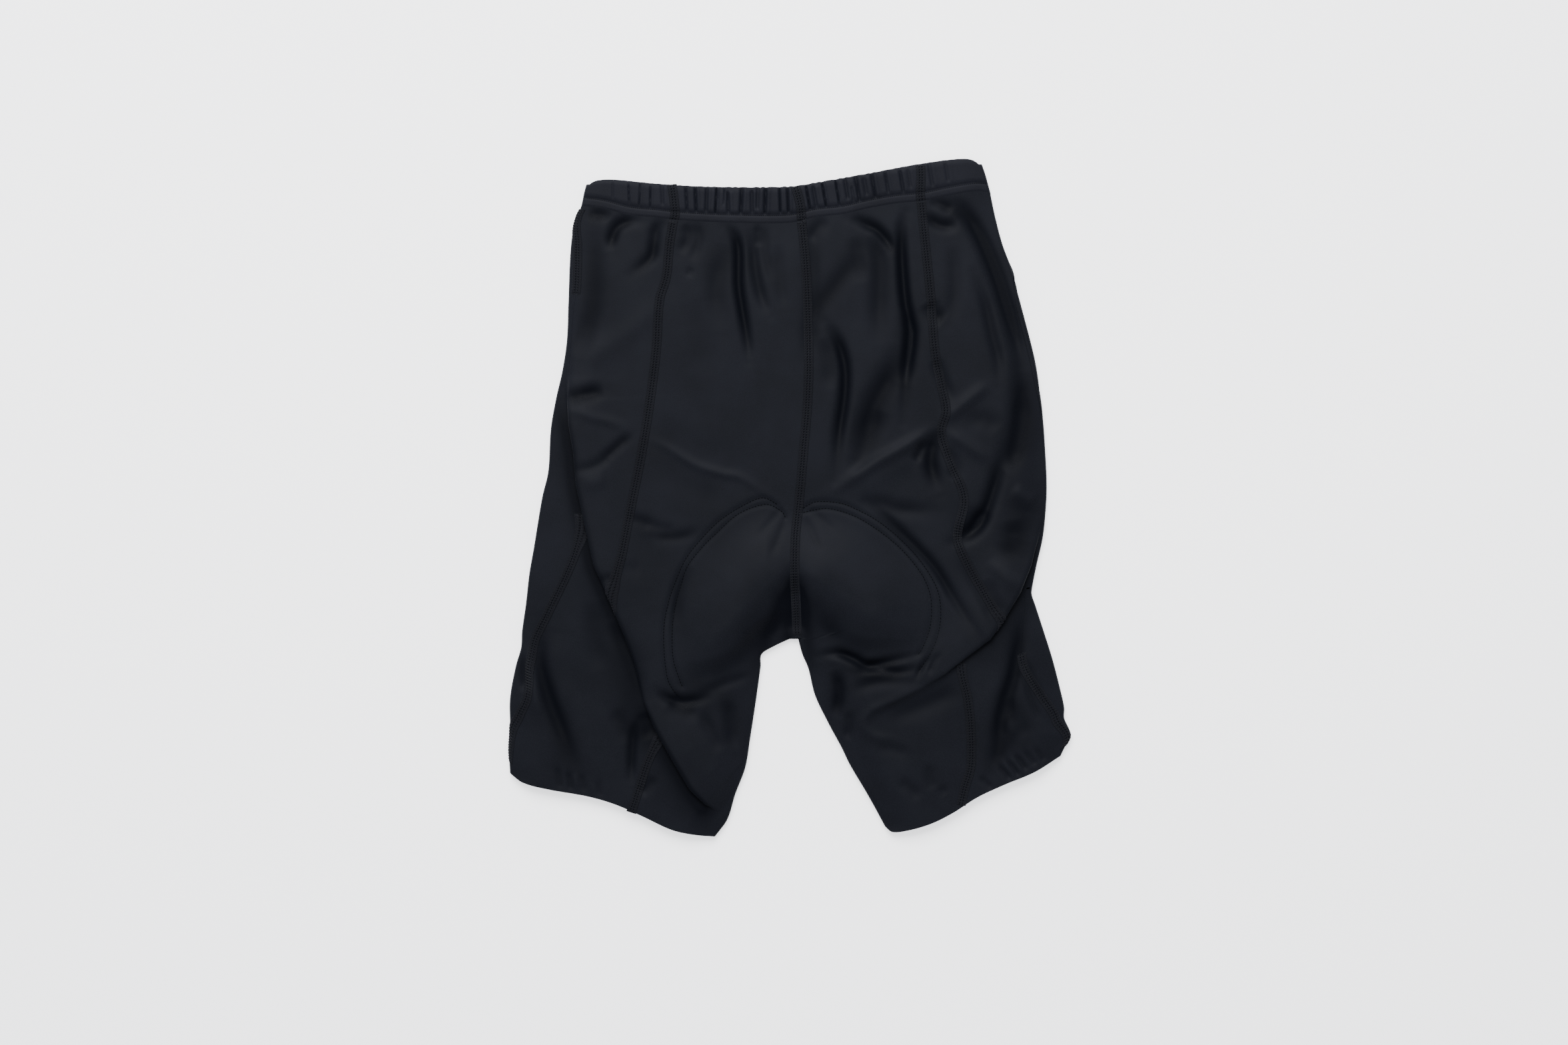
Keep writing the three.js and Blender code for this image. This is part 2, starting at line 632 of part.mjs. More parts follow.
// Cloth thickness at row v: double where the hem is turned up
function clothAt(half, v) {
  const above = Math.abs(level(half.outerLevels, v) - half.outerLevels.hem);
  return mix(HEM_CLOTH, CLOTH, smooth((above - HEM_DEPTH) / 6 + 0.5));
}

// Outward normals of a grid of points
function gridNormals(points, side, ring = false) {
  const rows = points.length;
  const columns = points[0].length;
  const cell = (row, column) => {
    const next = (column + 1) % columns;
    const falling = points[row + 1][next].clone().sub(points[row][column]);
    const rising = points[row][next].clone().sub(points[row + 1][column]);
    return falling.cross(rising).multiplyScalar(-side);
  };
  const normals = points.map((row) => row.map(() => new THREE.Vector3()));
  for (let row = 0; row < rows - 1; row += 1) {
    for (let column = 0; column < (ring ? columns : columns - 1); column += 1) {
      const normal = cell(row, column);
      const next = (column + 1) % columns;
      [[row, column], [row + 1, column], [row, next], [row + 1, next]].forEach(([r, c]) => normals[r][c].add(normal));
    }
  }
  normals.forEach((row) => row.forEach((normal) => normal.normalize()));
  return normals;
}

// A closed wall between an outer and an inner grid of points
function wallGeometry(outer, inner, ring = false) {
  const rows = outer.length;
  const columns = outer[0].length;
  const positions = [outer, inner].flatMap((face) => face.flatMap((row) => row.flatMap((point) => point.toArray())));
  const index = (face, row, column) => face * rows * columns + row * columns + (column % columns);
  const faces = [];
  const quad = (a, b, c, d) => faces.push(a, b, c, a, c, d);
  const lastColumn = ring ? columns : columns - 1;
  for (let row = 0; row < rows - 1; row += 1) {
    for (let column = 0; column < lastColumn; column += 1) {
      quad(index(0, row, column), index(0, row + 1, column), index(0, row + 1, column + 1), index(0, row, column + 1));
      quad(index(1, row, column + 1), index(1, row + 1, column + 1), index(1, row + 1, column), index(1, row, column));
    }
  }
  for (let column = 0; column < lastColumn; column += 1) {
    quad(index(0, 0, column), index(0, 0, column + 1), index(1, 0, column + 1), index(1, 0, column));
    quad(index(1, rows - 1, column), index(1, rows - 1, column + 1), index(0, rows - 1, column + 1), index(0, rows - 1, column));
  }
  if (!ring) {
    for (let row = 0; row < rows - 1; row += 1) {
      quad(index(1, row, 0), index(1, row + 1, 0), index(0, row + 1, 0), index(0, row, 0));
      quad(index(0, row, columns - 1), index(0, row + 1, columns - 1), index(1, row + 1, columns - 1), index(1, row, columns - 1));
    }
  }
  const geometry = new THREE.BufferGeometry();
  geometry.setAttribute("position", new THREE.Float32BufferAttribute(positions, 3));
  geometry.setIndex(faces);
  return facingOut(geometry);
}

// Turns the faces over where the enclosed volume comes out negative
function facingOut(geometry) {
  const position = geometry.getAttribute("position");
  const faces = Array.from(geometry.getIndex().array);
  const corner = (i) => new THREE.Vector3().fromBufferAttribute(position, faces[i]);
  let volume = 0;
  for (let i = 0; i < faces.length; i += 3) {
    volume += corner(i).dot(corner(i + 1).cross(corner(i + 2)));
  }
  if (volume < 0) {
    for (let i = 0; i < faces.length; i += 3) {
      [faces[i], faces[i + 1]] = [faces[i + 1], faces[i]];
    }
    geometry.setIndex(faces);
  }
  geometry.computeVertexNormals();
  return geometry;
}

// The outer face of one half, as rows that run from under the garment round the edge and over the top
function halfGrid(half) {
  return rowsOf(half).map((v) => {
    const ends = rowEnds(half, v);
    const limits = ringLimits(half, v, ends);
    const frontWay = half.frontSeam(level(half.outerLevels, v)) - TURN_RADIUS + TURN_ARC / 2;
    const backWay = wayToSeam(half, v, ends);
    const gap = SEAM_GAP / 2;
    const ways = [
      ...spread(half, v, ends, limits.low, frontWay - gap, FRONT_COLUMNS),
      ...spread(half, v, ends, frontWay + gap, backWay - gap, SIDE_COLUMNS),
      ...spread(half, v, ends, backWay + gap, limits.high, BACK_COLUMNS),
    ];
    return { v, points: ways.map((way) => ringPoint(half, v, way, ends)) };
  });
}

function panelsOf(half) {
  const rows = halfGrid(half);
  const outer = rows.map((row) => row.points);
  const sideStart = FRONT_COLUMNS + 1;
  const backStart = sideStart + SIDE_COLUMNS + 1;
  const normals = gridNormals(outer, half.side);
  normals.forEach((row) => [sideStart, backStart].forEach((start) => {
    const shared = row[start - 1].clone().add(row[start]).normalize();
    row[start - 1].copy(shared);
    row[start].copy(shared);
  }));
  const inner = outer.map((row, i) => {
    const thickness = clothAt(half, rows[i].v);
    return row.map((point, j) => point.clone().addScaledVector(normals[i][j], -thickness));
  });
  const part = (from, to) => wallGeometry(
    outer.map((row) => row.slice(from, to)),
    inner.map((row) => row.slice(from, to)),
  );
  return {
    front: part(0, sideStart),
    side: part(sideStart, backStart),
    back: part(backStart, backStart + BACK_COLUMNS + 1),
  };
}

// Waistband: a flattened ring, plain inside and gathered on its outer upper face
function gatherAt(x) {
  return GATHERS.reduce((sum, middle) => sum + bell((x - middle) / GATHER_WIDTH), 0);
}

function bandPoint(share, along, level_share) {
  const radius = BAND_HEIGHT / 2;
  const lowX = [HALVES.left.outer(217.6), HALVES.right.outer(227.8)];
  const highX = [BAND_TOP[0].x, BAND_TOP[BAND_TOP.length - 1].x];
  const left = mix(lowX[0], highX[0], level_share);
  const right = mix(lowX[1], highX[1], level_share);
  const x = mix(left + radius, right - radius, clamp(along, 0, 1));
  const low = bandEdge(mix(lowX[0], lowX[1], (x - left) / (right - left))) + BAND_GAP;
  const high = bandTop(mix(highX[0], highX[1], (x - left) / (right - left)));
  const y = mix(low, high, level_share);
  if (share.top) {
    const gathered = smooth((level_share * (high - low) - BAND_FLAT) / 5) * smooth((1 - level_share) / 0.08 + 0.4);
    return new THREE.Vector3(x, y, BAND_HEIGHT - GATHER_DEPTH * gatherAt(x) * gathered);
  }
  if (share.turn === undefined) return new THREE.Vector3(x, y, 0);
  const angle = share.turn * Math.PI;
  return new THREE.Vector3(x + share.side * radius * Math.sin(angle), y, radius * (1 + Math.cos(angle)));
}

function bandGeometry() {
  const left = HALVES.left.outer(217.6) + BAND_HEIGHT / 2;
  const right = HALVES.right.outer(227.8) - BAND_HEIGHT / 2;
  const places = GATHERS.flatMap((middle) => GATHER_COLUMNS.map((offset) => middle + offset));
  const inside = places.filter((x, i) => x > left + 2 && x < right - 2 && !(x - places[i - 1] < 0.9));
  const tops = [left, mix(left, inside[0], 0.5), ...inside, mix(inside[inside.length - 1], right, 0.5), right];
  const stations = tops.map((x) => [{ top: true }, (x - left) / (right - left)]);
  for (let i = 1; i < BAND_TURN_COLUMNS; i += 1) stations.push([{ turn: i / BAND_TURN_COLUMNS, side: 1 }, 1]);
  for (let i = 0; i <= BAND_UNDER_COLUMNS; i += 1) stations.push([{}, 1 - i / BAND_UNDER_COLUMNS]);
  for (let i = 1; i < BAND_TURN_COLUMNS; i += 1) stations.push([{ turn: 1 - i / BAND_TURN_COLUMNS, side: -1 }, 0]);
  const outer = BAND_LEVELS.map((share) => stations.map(([kind, along]) => bandPoint(kind, along, share)));
  const inner = outer.map((row) => row.map((point, i) => {
    const [kind, along] = stations[i];
    if (kind.top) return new THREE.Vector3(point.x, point.y, BAND_HEIGHT - BAND_CLOTH);
    if (kind.turn === undefined) return new THREE.Vector3(point.x, point.y, BAND_CLOTH);
    const angle = kind.turn * Math.PI;
    const radius = BAND_HEIGHT / 2;
    const x = mix(row[0].x, row[tops.length - 1].x, along) + kind.side * (radius - BAND_CLOTH) * Math.sin(angle);
    return new THREE.Vector3(x, point.y, radius + (radius - BAND_CLOTH) * Math.cos(angle));
  }));
  return wallGeometry(outer, inner, true);
}

// Seat pad: a closed form between the layers, under the back panels
function padGeometry() {
  const middle = new THREE.Vector2(PAD_MIDDLE.x, PAD_MIDDLE.y);
  const rim = Array.from({ length: PAD_SPOKES }, (unused, i) => {
    const angle = (i / PAD_SPOKES) * Math.PI * 2;
    const ray = new THREE.Vector2(Math.cos(angle), Math.sin(angle));
    const reaches = PAD_PATH.pieces.map((piece) => {
      const cross = ray.x * piece.dy - ray.y * piece.dx;
      const share = ((piece.ax - middle.x) * ray.y - (piece.ay - middle.y) * ray.x) / cross;
      const reach = ((piece.ax - middle.x) * piece.dy - (piece.ay - middle.y) * piece.dx) / cross;
      return share >= -0.001 && share <= 1.001 && reach > 0 ? reach : Infinity;
    });
    return ray.multiplyScalar(Math.min(...reaches));
  });
  const skinBelow = (x, y) => {
    const step = 2;
    const slopeX = (topHeight(x + step, y) - topHeight(x - step, y)) / (2 * step);
    const slopeY = (topHeight(x, y + step) - topHeight(x, y - step)) / (2 * step);
    return topHeight(x, y) - (CLOTH + PAD_CLEARANCE) * Math.hypot(1, slopeX, slopeY);
  };
  const positions = [];
  const put = (x, y, z) => {
    positions.push(x, y, z);
    return positions.length / 3 - 1;
  };
  const upperMiddle = put(middle.x, middle.y, skinBelow(middle.x, middle.y));
  const lowerMiddle = put(middle.x, middle.y, PAD_FLOOR);
  const rings = PAD_RINGS.map((share) => rim.map((spoke) => {
    const x = middle.x + spoke.x * share;
    const y = middle.y + spoke.y * share;
    const upper = Math.max(skinBelow(x, y), PAD_FLOOR + 0.9);
    return { upper: put(x, y, upper), lower: put(x, y, PAD_FLOOR) };
  }));
  const faces = [];
  rim.forEach((spoke, i) => {
    const j = (i + 1) % PAD_SPOKES;
    faces.push(upperMiddle, rings[0][i].upper, rings[0][j].upper);
    faces.push(lowerMiddle, rings[0][j].lower, rings[0][i].lower);
    rings.slice(1).forEach((ring, k) => {
      const inside = rings[k];
      faces.push(inside[i].upper, ring[i].upper, ring[j].upper, inside[i].upper, ring[j].upper, inside[j].upper);
      faces.push(inside[i].lower, ring[j].lower, ring[i].lower, inside[i].lower, inside[j].lower, ring[j].lower);
    });
    const edge = rings[rings.length - 1];
    faces.push(edge[i].upper, edge[i].lower, edge[j].lower, edge[i].upper, edge[j].lower, edge[j].upper);
  });
  const geometry = new THREE.BufferGeometry();
  geometry.setAttribute("position", new THREE.Float32BufferAttribute(positions, 3));
  geometry.setIndex(faces);
  return facingOut(geometry);
}

const CLOTH_COLOUR = "#16181f";
const BAND_COLOUR = "#14161c";
const PAD_COLOUR = "#2a2c31";

function piece(name, geometry, colour, roughness) {
  const material = new THREE.MeshStandardMaterial({ color: colour, roughness, metalness: 0 });
  material.name = name;
  const mesh = new THREE.Mesh(geometry, material);
  mesh.name = name;
  return mesh;
}

const shorts = new THREE.Group();
shorts.name = "cycling_shorts";
Object.entries(HALVES).forEach(([side, half]) => {
  Object.entries(panelsOf(half)).forEach(([panel, geometry]) => {
    shorts.add(piece(`${panel}_${side}`, geometry, CLOTH_COLOUR, 0.62));
  });
});
shorts.add(piece("waistband", bandGeometry(), BAND_COLOUR, 0.66));
shorts.add(piece("seat_pad", padGeometry(), PAD_COLOUR, 0.85));

export default shorts;
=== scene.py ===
"""Cycling shorts laid flat with the back side up: the looks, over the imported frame."""
import logging
import math
from dataclasses import dataclass, field
from enum import Enum
from typing import Iterable, Sequence

import bpy
import numpy as np
from mathutils import Matrix, Vector


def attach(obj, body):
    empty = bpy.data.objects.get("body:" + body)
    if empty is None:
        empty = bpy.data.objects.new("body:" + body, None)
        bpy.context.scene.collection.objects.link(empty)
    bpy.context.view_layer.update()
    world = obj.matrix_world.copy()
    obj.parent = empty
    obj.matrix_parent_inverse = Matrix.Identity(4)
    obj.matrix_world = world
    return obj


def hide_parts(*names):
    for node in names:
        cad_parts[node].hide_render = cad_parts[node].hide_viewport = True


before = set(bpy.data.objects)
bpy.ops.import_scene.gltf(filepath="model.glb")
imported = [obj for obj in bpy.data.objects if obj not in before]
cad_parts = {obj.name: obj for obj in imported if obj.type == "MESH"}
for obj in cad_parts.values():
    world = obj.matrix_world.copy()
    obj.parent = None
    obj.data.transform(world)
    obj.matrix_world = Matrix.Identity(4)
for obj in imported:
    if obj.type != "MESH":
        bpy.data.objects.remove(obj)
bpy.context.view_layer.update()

LOG = logging.getLogger("shorts")
MM = 0.001
ROOT = "root"

# Cloth and its heights, in millimetres, as in the solids
CLOTH = 0.9
REST_HEIGHT = 5.0
PUFF = 3.4
PUFF_REACH = 24.0
LOWEST_TOP = 3.3
TURN_RADIUS = 2.5
TURN_ARC = math.pi * TURN_RADIUS
INSEAM_WRAP = 9.0
INSEAM_GROWTH = 60.0
CROTCH_ROW = 0.68
SEAM_GAP = 0.08
CENTRE_GAP = 0.08

# Folds
FOLD_WIDTH = 5.0
FOLD_DECAY = 20.0
FOLD_REMAINS = 0.22
FOLD_FADE = 110.0

# Seat pad
PAD_RISE = 8.8
PAD_SHOULDER = 50.0
PAD_LOWER_SHOULDER = 16.0
PAD_FALL = 0.8
PAD_FALL_REACH = 32.0
PAD_GROOVE = 0.4
PAD_GROOVE_WIDTH = 11.0
PAD_GROOVE_TOP = -20.0
PAD_GROOVE_GROWTH = 60.0

# Waistband
BAND_HEIGHT = 5.2
BAND_CLOTH = 2.2
BAND_FLAT = 6.5
BAND_CORNER = 9.0

# Small forms: stitched grooves, a faint ripple, and how far from an edge each form reaches its full size
GROOVE_DEPTH = 0.7
GROOVE_WIDTH = 1.6
RIPPLE = 0.35
RIPPLE_REACH = 30.0
CREASE_REACH = 10.0
FOLD_REACH = 5.0

# Painted shade: depths at which a crease and a gather are painted darkest, the lowest height that is painted,
# and the shares of the colour that are left there
PAINTED_SHADE_FULL = 4.2
GATHER_SHADE_FULL = 3.0
PAINTED_SHADE_LOWEST = 2.0
PAINTED_SHADE_SHARES = (0.1, 0.18, 0.38)

# Sewing
FLATLOCK_PITCH = 2.0
FLATLOCK_RISE = 0.45
STITCH_PITCH = 2.3
BAND_STITCH_PITCH = 1.6

Points = Sequence[tuple[float, ...]]
Number = float | np.ndarray

OUTER_LEFT: Points = (
    (218, -155.8), (211, -159.5), (199, -162.4), (180, -164.3), (145, -165.6), (117, -166.8), (94, -170.3),
    (76, -174.5), (52, -178.7), (20, -180.7), (0, -185.3), (-38, -191.6), (-57, -194.9), (-80, -197.5),
    (-100, -200.3), (-112, -201), (-126, -205), (-150, -209.3), (-172, -209.3), (-190, -210), (-206, -209.3),
)
OUTER_RIGHT: Points = (
    (228, 150.6), (210, 154.4), (190, 159.7), (170, 167), (150, 171.9), (120, 180), (100, 184.5), (80, 187.5),
    (60, 190), (40, 191.5), (10, 192.9), (-10, 192.1), (-30, 189.9), (-50, 185.4), (-66, 182.2), (-72, 181.6),
    (-80, 184.2), (-100, 190.7), (-120, 197), (-140, 202.2), (-157, 206), (-165, 206), (-174, 210),
    (-179, 210.4), (-186, 206.8), (-193, 203.4),
)
CENTRE_SEAM: Points = (
    (205, 9.3), (178, 12), (150, 13.5), (100, 14.5), (70, 13.5), (40, 11), (0, 7.5), (-30, 4.5), (-60, 4),
    (-80, 5), (-105, 6),
)
INNER_LEFT: Points = (
    (-105, 2), (-110.6, -10.2), (-116.8, -20.4), (-126, -21.4), (-151, -24.8), (-181, -29.4), (-202, -32.9),
    (-222, -40.4), (-241, -46.4), (-253.6, -55.5),
)
INNER_RIGHT: Points = (
    (-105, 6.4), (-117, 9.6), (-127.6, 14.1), (-148, 19.2), (-170, 29.8), (-187, 39), (-200, 45.3),
    (-219, 56.6), (-231, 63.4), (-246, 71.5),
)
BAND_EDGE: Points = (
    (-155.8, 218), (-140, 216), (-120, 211), (-100, 209), (-80, 206.8), (-40, 205), (0, 205), (20, 209.3),
    (40, 211.5), (60, 216), (80, 219.5), (100, 221.5), (120, 225.6), (140, 228.8), (150.6, 228.2),
)
BAND_TOP: Points = (
    (-152.2, 236.5), (-135, 238.3), (-100, 235.2), (-60, 232.9), (0, 233), (20, 236), (60, 243), (95, 249.5),
    (130, 253.8), (144.4, 251.4),
)
HEM_LEFT: Points = (
    (-209.3, -206), (-200, -212.8), (-180, -218), (-150, -223.4), (-130, -229.3), (-110, -238), (-88, -248.2),
    (-70, -252.2), (-55.5, -253.6),
)
HEM_RIGHT: Points = (
    (71.5, -246), (77, -250.1), (90, -248.4), (107, -243.2), (123, -235.1), (140, -224.2), (160, -214.8),
    (183, -205.2), (203.4, -193),
)
BACK_SEAM_LEFT: Points = (
    (207.8, -86.5), (190, -89.5), (165, -92), (148, -97), (110, -99.5), (70, -104.5), (30, -111), (0, -117),
    (-40, -124.5), (-64, -129.5), (-90, -127), (-130, -114), (-160, -105), (-180, -99.8), (-200, -106.8),
    (-236, -118.5),
)
BACK_SEAM_RIGHT: Points = (
    (221.4, 98.5), (190, 101.5), (150, 105.6), (110, 108.7), (85, 113.4), (65, 117), (50, 113.4), (30, 118.8),
    (0, 130.4), (-30, 125.5), (-50, 133.2), (-80, 150.5), (-91, 155.2), (-98, 154.6), (-105, 150.6),
    (-112, 143.4), (-126, 130), (-150, 133.2), (-170, 135.4), (-200, 135.5), (-218, 130.7), (-232, 127.5),
)
FRONT_SEAM_LEFT: Points = (
    (218, 0.8), (205, 1.6), (190, 5), (160, 6), (127, 3.5), (90, 5.5), (75, 8), (60, 12.5), (45, 17.7),
    (10, 23.7), (-20, 32), (-50, 27.7), (-80, 17.5), (-110, 9), (-142, 13), (-158, 8), (-172, 2), (-190, 0),
    (-206, -2),
)
FRONT_SEAM_RIGHT: Points = (
    (228, -14), (180, -7), (145, 0), (95, 0), (40, -5), (-40, -4), (-66, 2), (-90, 13), (-115, 22),
    (-140, 15.5), (-165, 6), (-181, 2), (-193, 0.5),
)

# Overlapping folds: x, y, lift of the upper cloth, lean of the step, painted shade in the step, painted shade
# beside it
FOLD_LEFT: Points = (
    (-157, 182, 0, 0, 0, 0), (-160.5, 150, 1.2, 0, 0, 0), (-164.5, 118, 1.4, 0, 0, 0),
    (-165.4, 92, 2.4, 0.2, 0, 0), (-166, 72, 4.4, 1.2, 1, 0), (-163.5, 55, 5, 2, 3.6, 0.8),
    (-159.5, 34, 5, 2.2, 4.4, 1), (-157.5, 10, 5.2, 2.2, 4, 0.9), (-151, -20, 5.2, 2.2, 3.6, 0.8),
    (-144.5, -50, 5.2, 2.2, 3.6, 1), (-133, -75, 5.2, 2.2, 3.2, 1.6), (-124, -99, 4.6, 1.8, 1.4, 1.6),
    (-115.5, -125, 3.6, 1, 0.5, 1.8), (-109, -152, 3.4, 1, 0.3, 2), (-99.5, -172, 4.6, 2, 1.4, 3),
    (-86, -195, 5, 2.2, 1.4, 3.2), (-73, -217, 4.6, 2.2, 1.6, 3), (-62, -229, 3.4, 1.6, 2.4, 3.2),
    (-52, -236, 0, 0, 0, 0),
)
FOLD_RIGHT: Points = (
    (190.5, -14, 0, 0, 0, 0), (185.5, -34, 2.6, 0.8, 0.6, 0.4), (180, -50, 4, 1.8, 1, 0.8),
    (171, -70, 5, 2.2, 1, 1.2), (159, -90, 5.2, 2.2, 0.8, 1.4), (149, -105, 5, 2, 0.6, 1.4),
    (132, -119, 4, 1.4, 0.2, 1.2), (116, -132.5, 3, 0.8, 0, 0.9), (99, -142, 2.4, 0.4, 0, 0.7),
    (79, -152, 2.2, 0.3, 0, 0.6), (63, -159, 1.4, 0.1, 0, 0.4), (52, -165, 0, 0, 0, 0),
)

PAD_UPPER: Points = (
    (94, -120), (104, -104), (107, -86), (104, -68), (92, -46), (72, -27), (50, -13), (24, -8), (4, -12),
    (-16, -6), (-36, -12), (-56, -27), (-72, -46), (-83, -72), (-88, -100), (-86.5, -124), (-80, -140),
)
PAD_LOWER: Points = (
    (-66, -137), (-46, -131), (-30, -121), (-16, -106), (2, -96), (16, -105), (32, -113), (54, -118),
    (76, -120),
)
PAD_RIDGE: Points = (
    (-106, -156), (-62, -108), (-30, -77), (-8, -56), (2, -47), (12, -53), (34, -67), (66, -90), (112, -124),
)
PAD_STITCHES: Sequence[Points] = (
    ((-9, -5), (-20, 0), (-35, -6), (-52, -17), (-66, -31), (-77, -45), (-84, -60), (-90, -77), (-93.5, -95),
     (-93.5, -115), (-90.6, -136), (-83.6, -148)),
    ((-3, -15), (-6, -10), (-18, -5), (-38, -12), (-55, -27), (-66, -38), (-76, -51), (-81, -65),
     (-85.5, -82), (-87.5, -100), (-86.8, -120), (-82, -136), (-79.8, -141)),
    ((10, -8), (20, -3), (38, -4), (52, -9.5), (67, -18), (83, -31), (97, -46), (108, -63), (112.5, -77),
     (112.5, -95), (107, -113), (97, -129)),
    ((10, -11), (28, -8), (47, -13), (63, -22), (80, -35), (93, -49), (102, -63), (106, -78), (105, -97),
     (99, -113), (96, -117)),
)

# Painted shade strokes on the upper side, with no relief of their own: width, depth of tone, places
PAINTED_SHADES: Sequence[tuple[float, float, Points]] = (
    (5, 3.8, ((3, -52), (1, -86), (-6, -138))),
    (6, 3.2, ((-1, -66), (-10, -90), (-30, -138))),
    (5, 3.4, ((9, -62), (12, -88), (17, -138))),
    (10, 1.7, ((22, -84), (40, -104), (70, -128))),
    (8, 1.8, ((-16, -88), (-30, -108), (-56, -140))),
    (8, 1.2, ((-40, -128), (-62, -136), (-84, -145))),
    (10, 3.2, ((172, 96), (175, 64), (172, 40), (166, 16))),
    (13, 2.8, ((174, 16), (171, -16), (162, -56))),
    (11, 1.8, ((142, 0), (136, -16), (126, -28))),
    (12, 1.1, ((100, 2), (120, -6), (138, -10))),
    (9, 1.0, ((-144, 204), (-146, 160), (-150, 118))),
    (8, 2.6, ((-92, -149), (-82, -154), (-68, -158))),
    (11, 1.5, ((-76, -151), (-58, -152), (-42, -146))),
    (7, 2.4, ((30, -120), (50, -126), (70, -128), (96, -124))),
    (7, 1.8, ((46, -134), (64, -134), (88, -134))),
    (6, 2.2, ((33, -128), (36, -144), (34, -164))),
    (6, 3.2, ((175, -96), (170, -118), (166, -138), (160, -158), (157, -172), (150, -204))),
    (4.5, 2.6, ((162, -146), (165, -158), (164, -168))),
    (5, 3.0, ((160, -172), (166, -178), (160, -188), (152, -200))),
    (7, 1.0, ((170, -166), (176, -180), (172, -192))),
    (9, 2.8, ((-185, -108), (-182, -138), (-174, -166), (-164, -192), (-158, -206))),
    (10, 1.2, ((-134, -104), (-124, -136), (-118, -166))),
    (8, 2.2, ((-118, -166), (-110, -172), (-104, -180))),
    (10, 1.4, ((84, 110), (78, 84), (64, 60), (52, 34))),
    (7, 1.4, ((17, 136), (14, 118), (13, 96))),
    (8, 1.6, ((106, 44), (106, 28), (111, 8))),
    (8, 1.6, ((-118, -12), (-110, -22), (-98, -30))),
    (5, 1.8, ((-102, -28), (-84, -29), (-66, -23))),
    (6, 3.0, ((84, 212), (84, 170), (89, 130), (89, 104), (86, 52))),
    (5, 1.6, ((28, 130), (38, 110), (41, 84), (36, 14))),
    (5, 2.6, ((-152, 208), (-144, 211), (-136, 210))),
    (5, 2.6, ((-114, 206), (-126, 203), (-132, 194), (-131, 186))),
    (4.5, 2.0, ((-100, 194), (-104, 180), (-119, 167))),
    (7, 1.8, ((52, 182), (40, 166), (26, 148), (14, 128))),
    (5, 1.5, ((-117, 48), (-128, 38), (-142, 26))),
    (6.5, 2.2, ((-168, 75), (-152, 77), (-136, 79))),
    (6, 1.3, ((-79, -54), (-84, -80), (-80, -106))),
    (5, 2.0, ((-44, 202), (-38, 180), (-37, 150), (-31, 108))),
    (6, 1.4, ((58, 206), (72, 194), (80, 180))),
    (5, 2.2, ((110, 222), (120, 216), (128, 206))),
    (5, 1.6, ((101, 211), (110, 206), (122, 204))),
    (6, 1.8, ((106, 142), (111, 135), (118, 132))),
)

